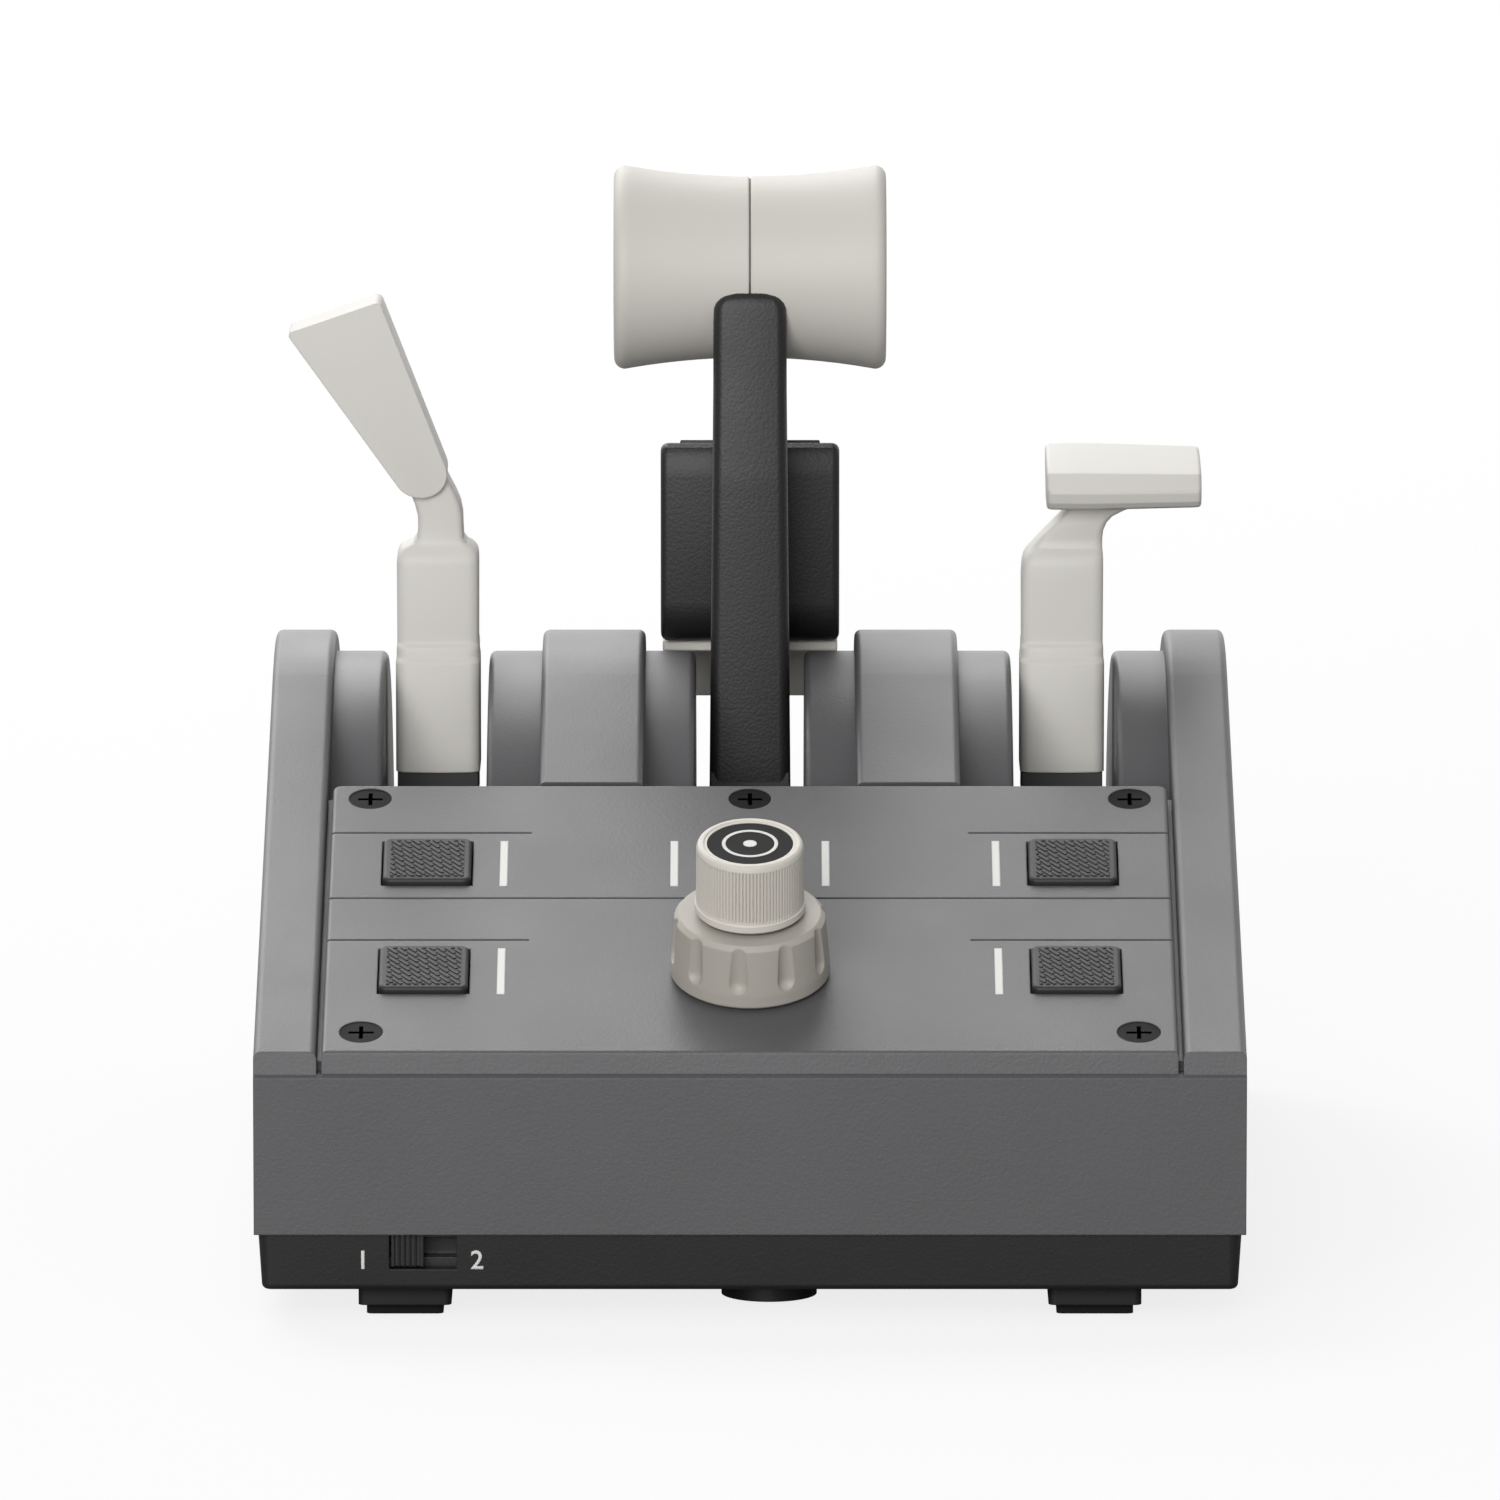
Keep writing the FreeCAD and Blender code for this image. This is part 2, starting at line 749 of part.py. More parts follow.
def make_base_tray():
    body = new_piece("base_tray")
    inset = size("tray_inset")
    draft = size("tray_draft")
    half = half_width - inset - draft
    reach = rear - inset - draft
    shell = pad(rounded_rectangle(body, half, reach, size("corner_radius"), size("foot_height")),
                size("tray_height"))
    bind(shell, "TaperAngle", Size(math.degrees(math.atan(draft.value / size("tray_height").value)),
                                   "atan(%s / %s)" % (draft.text, size("tray_height").text)))
    round_edges(body, as_size(1.0), lambda middle, edge: abs(middle.z - size("foot_height").value) < 0.01)

    thick = size("tray_wall")
    inner = half_width - inset - draft - thick
    inner_front = front + inset + draft + thick
    pocket(rectangle(body, "XY_Plane", -inner, inner, inner_front, -inner_front, tray_floor), as_size(20))

    # window of the slide switch, open to the tray's upper edge
    half_window = size("slide_window_width") / 2
    cut_box(body, (slide_centre - half_window, front - 5, joint_height - size("slide_window_height")),
            (slide_centre + half_window, inner_front + 1, joint_height + 5))
    # window of the data socket
    window_half = size("socket_window_half")
    cut_box(body, (size("socket_across") - window_half, rear - 6, tray_floor + 3.0),
            (size("socket_across") + window_half, rear + 5, joint_height + 5))

    # posts under the housing screws, with their sunk heads
    for across, along in housing_screw_places():
        add_cylinder(body, 4.5, joint_height - tray_floor, (across, along, tray_floor))
        cut_cylinder(body, 1.5 + loose, 20.0, (across, along, size("foot_height") - 1))
        cut_cylinder(body, 3.2, 3.5, (across, along, size("foot_height") - 0.5))
    # round boss with the threaded insert
    place_of_boss = (size("boss_across"), front + size("boss_inset"), size("boss_clearance"))
    add_cylinder(body, size("boss_radius"), tray_floor + 3.0, place_of_boss)
    cut_cylinder(body, size("mount_thread_radius") + size("insert_wall"), size("mount_thread_length"),
                 place_of_boss)
    return body


def make_mount_insert():
    body = new_piece("mount_insert", (size("boss_across"), front + size("boss_inset"),
                                      size("boss_clearance")))
    length = size("mount_thread_length")
    add_cylinder(body, size("mount_thread_radius") + size("insert_wall"), length, (0, 0, 0))
    cut_cylinder(body, size("mount_thread_radius"), length + 2, (0, 0, -1))
    return body


def foot_places():
    near = front + size("foot_inset")
    far = -near - size("foot_length")
    across = half_width - size("foot_side_inset")
    return [(side * across, along) for side in (-1, 1) for along in (near, far)]


def make_feet():
    blocks = new_piece("foot_blocks")
    pads = new_piece("rubber_feet")
    rubber = size("rubber_height")
    margin = (size("foot_block_width") - size("rubber_width")) / 2
    for across, along in foot_places():
        half = size("foot_block_width") / 2
        far = along + size("foot_length")
        add_box(blocks, (across - half, along, rubber), (across + half, far, size("foot_height")))
        add_box(pads, (across - half + margin, along + margin, 0),
                (across + half - margin, far - margin, rubber))
    round_edges(blocks, as_size(1.2), lambda middle, edge: edge.BoundBox.ZLength > 2)
    round_edges(pads, as_size(1.0), lambda middle, edge: edge.BoundBox.ZLength > 1)


# ---------------------------------------------------------------- control panel

def make_control_panel():
    body = new_piece("control_panel", (0, slope_y, slope_z), "slope")
    length = panel_length
    depth = size("panel_thickness")
    lip = slope_z - fascia_top - size("ledge_height")
    lean = size("band_lean")
    lip_low = (-lip * slope_sine - lean * slope_cosine, -lip * slope_cosine + lean * slope_sine)
    lip_inner = (-lip * slope_sine + depth * slope_cosine, -lip * slope_cosine - depth * slope_sine)
    fold_up = (-depth - lip_inner[1]) / slope_cosine
    profile = [
        (0, 0),
        (length, 0),
        (length, -depth),
        (lip_inner[0] + fold_up * slope_sine, -depth),
        lip_inner,
        lip_low,
    ]
    pad(outline(body, "YZ_Plane", profile), panel_half_width * 2, symmetric=True)

    def corner(middle, edge):
        rear_corner = abs(middle.y - length.value) < 0.01 and edge.BoundBox.XLength < 0.01
        return rear_corner and abs(middle.x) > panel_half_width.value - 0.1

    round_edges(body, size("panel_corner_radius"), corner)
    round_edges(body, size("panel_rim_radius"), lambda middle, edge: abs(middle.z) < 0.01)

    opening = size("button_side") / 2 + size("button_gap")
    for across, along in button_places().values():
        cut_box(body, (across - opening, along - opening, -depth - 1), (across + opening, along + opening, 1))
    sunk = size("panel_screw_sunk")
    for across, along in panel_screw_places():
        head = size("panel_screw_head_radius") + running
        shank = size("panel_screw_radius") + running
        cut_cylinder(body, shank, depth + 2, (across, along, -depth - 1))
        cut_cone(body, shank, head, head - shank, (across, along, -sunk - head + shank))
        cut_cylinder(body, head, sunk + 1, (across, along, -sunk))
    cut_cylinder(body, size("bush_radius") + running, depth + 2, (0, knob_row, -depth - 1))

    # engraved lines between the rows of controls
    groove = size("groove_width")
    deep = size("groove_depth")
    beyond = panel_half_width + 1
    inner_end = button_across - size("line_inner_end")
    for row in (button_row_upper, button_row_lower):
        along = row + size("line_above_upper_row")
        cut_box(body, (inner_end, along, -deep), (beyond, along + groove, 1))
        cut_box(body, (-beyond, along, -deep), (-inner_end, along + groove, 1))
    middle_line = panel_length * size("middle_line_share")
    cut_box(body, (-beyond, middle_line, -deep), (beyond, middle_line + groove, 1))

    # posts that carry the board
    for across, along in board_screw_places():
        add_cylinder(body, 3.0, size("board_depth") - depth, (across, along, -size("board_depth")))
        cut_cylinder(body, 1.1, 5.0, (across, along, -size("board_depth") - 1))
    return body


def button_places():
    across = button_across
    upper = button_row_upper
    lower = button_row_lower
    return {
        "upper_left": (-across, upper),
        "upper_right": (across, upper),
        "lower_left": (-across, lower),
        "lower_right": (across, lower),
    }


def board_screw_places():
    across = button_across - size("board_screw_inward")
    along = half_rows + size("board_screw_beyond_rows")
    return [(side * across, middle_row + end * along) for side in (-1, 1) for end in (-1, 1)]


def make_panel_screws():
    body = new_piece("panel_screws", (0, slope_y, slope_z), "slope")
    head = size("panel_screw_head_radius")
    shank = size("panel_screw_radius")
    sunk = size("panel_screw_sunk")
    length = size("panel_screw_length")
    for across, along in panel_screw_places():
        add_cylinder(body, shank, length - sunk, (across, along, -length))
        add_cone(body, shank, head, head - shank, (across, along, -sunk - head + shank))
        add_cylinder(body, head, sunk - 0.1, (across, along, -sunk))
    reach = size("screw_recess_half")
    half = size("screw_recess_width") / 2
    low = -sunk - size("screw_recess_depth")
    for across, along in panel_screw_places():
        cut_box(body, (across - reach, along - half, low), (across + reach, along + half, 1))
        cut_box(body, (across - half, along - reach, low), (across + half, along + reach, 1))


def make_buttons():
    half = size("button_side") / 2
    under = -size("panel_thickness") - loose
    low = under - size("button_flange")
    for name, (across, along) in button_places().items():
        body = new_piece("button_" + name, (0, slope_y, slope_z), "slope")
        add_box(body, (across - half, along - half, low), (across + half, along + half, size("button_proud")))
        round_edges(body, as_size(1.4), lambda middle, edge: edge.BoundBox.ZLength > 3)
        round_edges(body, as_size(0.6), lambda middle, edge: abs(middle.z - size("button_proud").value) < 0.01)
        wide = half + 1.2
        add_box(body, (across - wide, along - wide, low), (across + wide, along + wide, under))
        reach = size("board_depth") - size("switch_height") + 1.2
        add_cylinder(body, size("stem_radius"), low + reach, (across, along, -reach))


def make_panel_board():
    body = new_piece("panel_board", (0, slope_y, slope_z), "slope")
    top = -size("board_depth")
    half = panel_half_width - size("board_side_gap")
    reach = half_rows + size("board_beyond_rows")
    low = top - size("board_thickness")
    add_box(body, (-half, middle_row - reach, low), (half, middle_row + reach, top))
    for across, along in board_screw_places():
        cut_cylinder(body, 1.4, 5.0, (across, along, top - 3))
    switches = new_piece("tact_switches", (0, slope_y, slope_z), "slope")
    side = size("switch_side") / 2
    height = size("switch_height")
    for across, along in button_places().values():
        add_box(switches, (across - side, along - side, top), (across + side, along + side, top + height))
        cut_cylinder(switches, size("stem_radius") + 0.2, 5.0, (across, along, top + height - 2.4))


# ---------------------------------------------------------------- rotary knobs

def make_rotary_switch():
    row = knob_row
    floor = -size("board_depth")
    body = new_piece("encoder_body", (0, slope_y, slope_z), "slope")
    side = size("encoder_side") / 2
    add_box(body, (-side, row - side, floor), (side, row + side, floor + size("encoder_height")))
    bush_top = 1.2
    add_cylinder(body, size("bush_radius"), size("board_depth") + bush_top, (0, row, floor))
    cut_cylinder(body, size("ring_shaft_radius") + running, size("board_depth"), (0, row, floor + 4.0))
    cut_cylinder(body, size("encoder_shaft_radius") + running, 4.0, (0, row, floor + 2.0))

    nut = new_piece("encoder_nut", (0, slope_y, slope_z), "slope")
    prism = primitive(nut, "AdditivePrism", {"Circumradius": 7.0, "Height": 0.0 + 1.2}, (0, row, 0), "z")
    prism.Polygon = 6
    cut_cylinder(nut, size("bush_radius"), 4.0, (0, row, -1))

    ring = new_piece("selector_ring", (0, slope_y + row * slope_cosine, slope_z + row * slope_sine), "slope")
    low = size("ring_lift")
    top = low + size("ring_height")
    wide = size("ring_radius")
    narrow = size("ring_top_radius")
    shaft = size("ring_shaft_radius")
    bore = size("encoder_shaft_radius") + running * 2
    nut_room = as_size(8.5)
    ring_profile = [
        (bore, -5.5),
        (shaft, -5.5),
        (shaft, 3.4),
        (nut_room, 3.4),
        (nut_room, low),
        (wide - 0.4, low),
        (wide, low + 0.4),
        (wide, low + 2.4),
        (narrow, top - 0.8),
        (narrow - 0.8, top),
        (bore, top),
    ]
    revolve(outline(ring, "XZ_Plane", ring_profile))
    scallop = size("scallop_radius")
    reach = wide + scallop - size("scallop_depth")
    scallop_low = low + size("scallop_base")
    scallop_profile = [
        (0, scallop_low),
        (scallop, scallop_low + scallop, scallop, True),
        (scallop, top + 1),
        (0, top + 1),
    ]
    turned = size("scallop_turn")
    finger = outline(ring, "XZ_Plane", scallop_profile, reach * cosine(turned))
    bind(finger, "AttachmentOffset.Base.x", -reach * sine(turned))
    groove = ring.newObject("PartDesign::Groove", "scallop")
    groove.Profile = finger
    groove.ReferenceAxis = (finger, ["V_Axis"])
    groove.Angle = 360
    pattern = ring.newObject("PartDesign::PolarPattern", "scallops")
    pattern.Originals = [groove]
    pattern.Axis = (origin_feature(ring, "Z_Axis"), [""])
    pattern.Angle = 360
    pattern.Occurrences = 10
    ring.Tip = pattern

    centre = (0, slope_y + row * slope_cosine, slope_z + row * slope_sine)
    knob_low = top + size("knob_gap")
    knob_top = knob_low + size("knob_height")
    shaft_top = knob_top - 3.0
    spindle = new_piece("encoder_shaft", centre, "slope")
    add_cylinder(spindle, size("encoder_shaft_radius"), shaft_top + 8.5, (0, 0, -8.5))

    knob = new_piece("select_knob", centre, "slope")
    outer = size("knob_radius")
    cap = size("cap_radius")
    inner = size("encoder_shaft_radius") + running * 2
    knob_profile = [
        (inner, knob_low),
        (outer - 0.3, knob_low),
        (outer, knob_low + 0.4),
        (outer, knob_low + 1.5),
        (outer - 0.25, knob_low + 1.7),
        (outer - 0.25, knob_top - 1.2),
        (outer - 1.2, knob_top, 1.0, True),
        (cap + 0.05, knob_top),
        (cap + 0.05, knob_top - 1.1),
        (0, knob_top - 1.1),
        (0, knob_top - 2.2),
        (inner, knob_top - 2.2),
    ]
    revolve(outline(knob, "XZ_Plane", knob_profile))
    disc = new_piece("knob_cap", centre, "slope")
    add_cylinder(disc, cap, 0.8, (0, 0, knob_top - 1.1))


# ---------------------------------------------------------------- slide switch

def make_slide_switch():
    window_half = size("slide_window_width") / 2
    floor = joint_height - size("slide_window_height")
    outside = front + size("tray_inset") + size("tray_draft")
    behind = outside + size("tray_wall")
    left = slide_centre - window_half + loose
    width = size("slide_window_width") - size("slide_travel") - loose * 2
    middle = left + width / 2
    knob = new_piece("engine_slide_switch")
    add_box(knob, (left, outside + 0.3, floor + loose), (left + width, behind + 1.2, joint_height - loose))
    ribs = 6
    for number in range(ribs):
        step = width / ribs
        start = left + step * number + step * 0.62
        if number < ribs - 1:
            cut_box(knob, (start, outside - 2, floor), (start + step * 0.76, outside + 0.7, joint_height))
    add_box(knob, (middle - 1.2, behind + 1, floor + 1.6), (middle + 1.2, behind + 4.0, floor + 4.2))

    case = new_piece("slide_switch_body")
    low = slide_centre - window_half - 1.5
    high = slide_centre + window_half + 1.5
    add_box(case, (low, behind + 1.5, tray_floor), (high, behind + 7.5, joint_height - loose))
    cut_box(case, (low + 1.5, behind + 1, floor + 1.3), (high - 1.5, behind + 4.5, floor + 4.5))


# ---------------------------------------------------------------- lever mechanism

LEVERS = ("speedbrake", "thrust", "flap")


def lever_x(lever):
    return {"speedbrake": -lever_across, "thrust": as_size(0), "flap": lever_across}[lever]


def make_yokes():
    """U-shaped brackets that hold the axle on both sides of each lever's hub."""
    gap = size("hub_half_width") + size("washer_thickness") + running * 4
    cheek = size("yoke_cheek")
    base = size("yoke_half_length")
    bore = size("axle_radius") + size("bush_wall")
    drop = pivot_z - tray_floor
    shoulder = size("hub_radius") - 0.5
    for lever in LEVERS:
        body = new_piece(lever + "_yoke", (lever_x(lever), pivot_y, pivot_z))
        cheek_profile = [
            (-base, -drop),
            (base, -drop),
            (base, -drop + 4),
            (shoulder, 0),
            (0, shoulder, shoulder, True),
            (-shoulder, 0, shoulder, True),
            (-base, -drop + 4),
        ]
        for low in (gap, -gap - cheek):
            pad(outline(body, "YZ_Plane", cheek_profile, low), cheek)
        rectangle_floor = rectangle(body, "XY_Plane", -gap - cheek, gap + cheek, -base, base, -drop)
        pad(rectangle_floor, size("yoke_base"))
        cut_cylinder(body, bore + running, (gap + cheek) * 2 + 2, (-gap - cheek - 1, 0, 0), "x")
        for across, along in yoke_screw_places():
            cut_cylinder(body, 1.6, 6.0, (across, along, -drop - 1))


def yoke_screw_places():
    """The four screws of a yoke, measured from under its hub."""
    across = size("yoke_screw_across")
    along = size("yoke_screw_along")
    return [(side * across, end * along) for side in (-1, 1) for end in (-1, 1)]


def yoke_cheek_places(lever):
    """The low X of both cheeks of a yoke."""
    gap = size("hub_half_width") + size("washer_thickness") + running * 4
    return (lever_x(lever) + gap, lever_x(lever) - gap - size("yoke_cheek"))


def make_axle():
    reach = lever_across + size("hub_half_width") + size("washer_thickness") + size("yoke_cheek") + 4
    axle = new_piece("lever_axle", (0, pivot_y, pivot_z))
    add_cylinder(axle, size("axle_radius"), reach * 2, (-reach, 0, 0), "x")
    rings = new_piece("axle_rings", (0, pivot_y, pivot_z))
    for side in (-1, 1):
        start = side * (reach - 2.0) - 0.5
        collar = add_cylinder(rings, size("axle_radius") + 2, 1.0, (start, 0, 0), "x")
        collar.Label = "retaining_ring"
    cut_cylinder(rings, size("axle_radius"), reach * 2 + 10, (-reach - 5, 0, 0), "x")

    bushes = new_piece("axle_bushes", (0, pivot_y, pivot_z))
    washers = new_piece("friction_washers", (0, pivot_y, pivot_z))
    boards = new_piece("sensor_boards", (0, pivot_y, pivot_z))
    outer = size("axle_radius") + size("bush_wall")
    for lever in LEVERS:
        for low in yoke_cheek_places(lever):
            add_cylinder(bushes, outer, size("yoke_cheek"), (low, 0, 0), "x")
        for low in (lever_x(lever) + size("hub_half_width") + running,
                    lever_x(lever) - size("hub_half_width") - size("washer_thickness") - running):
            add_cylinder(washers, size("hub_radius") - 1, size("washer_thickness"), (low, 0, 0), "x")
        face = yoke_cheek_places(lever)[0] + size("yoke_cheek")
        add_box(boards, (face, -8, -12), (face + size("board_thickness"), 8, 7))
        cut_cylinder(boards, size("axle_radius") + 3, 6.0, (face - 1, 0, 0), "x")
    for piece in (bushes, washers):
        cut_cylinder(piece, size("axle_radius") + running, half_width * 2, (-half_width, 0, 0), "x")


def make_channel_floors():
    """Curved black covers that close each slot underneath and leave a slit for the lever's web."""
    outer = size("channel_radius")
    inner = outer - size("channel_thickness")
    ahead = size("channel_front_angle")
    behind = size("slot_rear_angle") - 0.3
    widths = {"speedbrake": size("side_slot_width"), "thrust": size("centre_slot_width"),
              "flap": size("side_slot_width")}
    shelf = well_front + loose - pivot_y
    slit = size("lever_travel") + 15
    for lever in LEVERS:
        body = new_piece(lever + "_channel_floor", (lever_x(lever), pivot_y, pivot_z))
        profile = [
            (shelf, outer * cosine(ahead)),
            (-outer * sine(ahead), outer * cosine(ahead)),
            (0, outer, outer, False),
            (outer * sine(behind), outer * cosine(behind), outer, False),
            (inner * sine(behind), inner * cosine(behind)),
            (0, inner, inner, True),
            (-inner * sine(ahead), inner * cosine(ahead), inner, True),
            (shelf, inner * cosine(ahead)),
        ]
        width = widths[lever] - loose
        pad(outline(body, "YZ_Plane", profile), width, symmetric=True)
        opening = [
            (-60 * sine(slit), 60 * cosine(slit)),
            (0, 90),
            (60 * sine(slit), 60 * cosine(slit)),
            (0, 0),
        ]
        pocket(outline(body, "YZ_Plane", opening), size("web_thickness") + 1.2, symmetric=True)


def make_hub(lever, reach, shoe_width, shoe_half):
    """The black inner part of a lever: boss on the axle, tapered web and the shoe that fills the slot."""
    body = new_piece(lever + "_hub", (lever_x(lever), pivot_y, pivot_z))
    boss = size("hub_radius")
    add_cylinder(body, boss, size("hub_half_width") * 2, (-size("hub_half_width"), 0, 0), "x")
    half = as_size(8.0)
    web = [(-boss + 1, 0), (boss - 1, 0), (half, reach), (-half, reach)]
    pad(outline(body, "YZ_Plane", web), size("web_thickness"), symmetric=True)
    low = size("channel_radius") + 0.8
    shoe = [
        (-shoe_half, low - 0.3),
        (0, low, as_size(60), False),
        (shoe_half, low - 0.3, as_size(60), False),
        (shoe_half - 1.5, size("lever_root")),
        (1.5 - shoe_half, size("lever_root")),
    ]
    pad(outline(body, "YZ_Plane", shoe), shoe_width, symmetric=True)
    cut_cylinder(body, size("axle_radius") + running, 40.0, (-20, 0, 0), "x")
    cut_cylinder(body, 3.0 + running, 3.0, (size("web_thickness") / 2 - 2.0, 0, 22.0), "x")
    magnet = new_piece(lever + "_magnet", (lever_x(lever), pivot_y, pivot_z))
    add_cylinder(magnet, 3.0, 2.0, (size("web_thickness") / 2 - 2.0, 0, 22.0), "x")
    return body


def make_side_stem(lever, neck):
    """The pale cover over a side lever's hub, with its collar, shoulders and bent neck."""
    body = new_piece(lever + "_stem", (lever_x(lever), pivot_y, pivot_z))
    thin = size("stem_depth") / 2
    thick = thin + size("collar_step")
    root = size("lever_root")
    top = stem_top
    profile = [
        (-thin, root),
        (-thin, collar_low),
        (-thick, collar_high),
        (-thick, top),
        (thick, top),
        (thick, collar_high),
        (thin, collar_low),
        (thin, root),
    ]
    pad(outline(body, "YZ_Plane", profile), size("stem_width"), symmetric=True)

    def long_edge(middle, edge):
        return edge.BoundBox.ZLength > 3 and abs(middle.x) > size("stem_width").value / 2 - 0.1

    round_edges(body, size("stem_corner_radius"), long_edge)

    def shoulder_edge(middle, edge):
        return abs(middle.z - top.value) < 0.01

    round_edges(body, size("stem_shoulder_radius"), shoulder_edge)
    pad(outline(body, "XZ_Plane", neck), size("neck_depth"), symmetric=True)
    half_neck = size("neck_depth").value / 2

    def neck_edge(middle, edge):
        free = top.value + 0.8 < middle.z < top.value + 6.5
        return free and middle.x > 0 and abs(abs(middle.y) - half_neck) < 0.01

    round_edges(body, size("neck_radius"), neck_edge)


def make_speedbrake_lever():
    make_hub("speedbrake", size("lever_root") - 0.5, size("stem_width") - 0.5, as_size(9.5))
    top = stem_top
    neck = [
        (-3.9, top - 2),
        (3.9, top - 2),
        (3.9, top + 5.5),
        (0.6, top + 14.4, as_size(16), True),
        (-6.6, top + 11.2),
        (-3.9, top + 4.5, as_size(12), False),
    ]
    make_side_stem("speedbrake", neck)
    handle = new_piece("speedbrake_handle", (lever_x("speedbrake"), pivot_y, pivot_z))
    round_foot = size("paddle_foot_radius")
    paddle = [
        (-size("paddle_tip_across"), top + size("paddle_tip_height")),
        (-size("paddle_heel_across"), top + size("paddle_heel_height")),
        (-size("paddle_foot_across"), top + size("paddle_foot_height"), round_foot, True),
        (size("paddle_toe_across"), top + size("paddle_toe_height"), round_foot, True),
        (-size("paddle_crown_across"), top + size("paddle_crown_height")),
    ]
    pad(outline(handle, "XZ_Plane", paddle), size("handle_depth"), symmetric=True)
    half = size("handle_depth").value / 2
    corner = size("paddle_corner_radius")
    round_edges(handle, corner, lambda middle, edge: edge.BoundBox.YLength > half)
    rim = size("paddle_rim_radius")
    round_edges(handle, rim, lambda middle, edge: abs(abs(middle.y) - half) < 0.01)
    pocket(outline(handle, "XZ_Plane", neck), size("neck_depth"), symmetric=True)


def make_flap_lever():
    make_hub("flap", size("lever_root") - 0.5, size("stem_width") - 0.5, as_size(9.5))
    top = stem_top
    neck = [
        (-6.6, top - 4),
        (6.4, top - 4),
        (5.9, top + 0.5),
        (10.4, top + 6.8, as_size(8), False),
        (0.5, top + 6.8),
        (-6.6, top - 2.0, as_size(11), True),
    ]
    make_side_stem("flap", neck)
    handle = new_piece("flap_handle", (lever_x("flap") - size("wing_left"), pivot_y, pivot_z))
    low = top + size("wing_drop")
    tail_back = size("wing_tail_back")
    nose = size("wing_nose")
    airfoil = [
        (-size("wing_flat_front"), low),
        (size("wing_flat_rear"), low + 0.6),
        (tail_back, low + size("wing_tail_low")),
        (tail_back - 3, low + size("wing_tail_high"), size("wing_tail_radius"), True),
        (-size("wing_flat_front"), low + size("wing_height")),
        (-nose, low + size("wing_nose_height"), size("wing_nose_radius"), True),
        (0.4 - nose, low + 1.6),
    ]
    pad(outline(handle, "YZ_Plane", airfoil), size("wing_length"))


def make_thrust_lever():
    make_hub("thrust", size("lever_root") - 0.5, size("bar_width"), as_size(9.5))
    bar = new_piece("thrust_bar", (0, pivot_y, pivot_z))
    near = -size("bar_depth") / 2 - 1.0
    far = near + size("bar_depth")
    root = size("lever_root")
    bend = bar_bend
    top = bar_top
    profile = [
        (near, root),
        (near, bend),
        (near + 4.0, top - 3.5),
        (near + 6.8, top),
        (far + 4.0, top - 3.0),
        (far + 4.0, top - 18),
        (far, bend + 4),
        (far, root),
    ]
    pad(outline(bar, "YZ_Plane", profile), size("bar_width"), symmetric=True)
    half = size("bar_width").value / 2

    def long_edge(middle, edge):
        return abs(middle.x) > half - 0.1 and middle.y < near.value + 8 and middle.z > root.value + 1

    round_edges(bar, size("bar_edge_radius"), long_edge)
    # rear lug of the reverse handle
    pin = (0, size("reverser_pin_back"), reverser_pin_height)
    lug = [
        (far - 1, pin[2] - 4.5),
        (pin[1], pin[2] - 4.5),
        (pin[1] + 4.5, pin[2], as_size(4.5), True),
        (pin[1], pin[2] + 4.5, as_size(4.5), True),
        (far - 1, pin[2] + 4.5),
    ]
    pad(outline(bar, "YZ_Plane", lug), as_size(8.0), symmetric=True)
    pin_radius = size("reverser_pin_radius")
    cut_cylinder(bar, pin_radius + running, 20.0, (-10, pin[1], pin[2]), "x")

    hinge_pin = new_piece("reverser_pin", (0, pivot_y, pivot_z))
    add_cylinder(hinge_pin, pin_radius, 24.0, (-12, pin[1], pin[2]), "x")

    grip_y = size("grip_setback")
    grip_z = grip_height
    waist = size("grip_waist_radius")
    swell = size("grip_end_radius")
    length = size("grip_half_length")
    for name, side in (("left", -1), ("right", 1)):
        half_grip = new_piece("grip_" + name, (0, pivot_y + grip_y, pivot_z + grip_z))
        parting = size("grip_parting_gap") / 2
        rim = size("grip_rim_radius")
        along = length - rim
        rise = swell - waist
        waist_arc = (along * along + rise * rise) / (rise * 2)
        grip_profile = [
            (side * parting, 0),
            (side * (length - 0.4), 0),
            (side * length, 8.0),
            (side * length, swell - rim),
            (side * along, swell, rim, side > 0),
            (side * parting, waist, waist_arc, side < 0),
        ]
        revolve(outline(half_grip, "XY_Plane", grip_profile), "H_Axis")
        room_half = size("bar_width") / 2 + 0.1
        room = [
            (near - grip_y, -40),
            (near - grip_y, bend - grip_z),
            (near + 4.0 - grip_y, top - 3.5 - grip_z),
            (near + 6.8 - grip_y, top + 0.1 - grip_z),
            (far + 4.1 - grip_y, top - 2.9 - grip_z),
            (far + 4.1 - grip_y, top - 18 - grip_z),
            (far + 0.1 - grip_y, bend + 4 - grip_z),
            (far + 0.1 - grip_y, -40),
        ]
        pocket(outline(half_grip, "YZ_Plane", room), room_half * 2, symmetric=True)
        start = side * (length - 5.0)
        axis = "x" if side > 0 else "-x"
        cut_cylinder(half_grip, size("end_button_radius") + loose, 12.0, (start, 0, 0), axis)
        button = new_piece("end_button_" + name, (0, pivot_y + grip_y, pivot_z + grip_z))
        add_cylinder(button, size("end_button_radius"), 3.3, (side * (length - 3.6), 0, 0), axis)


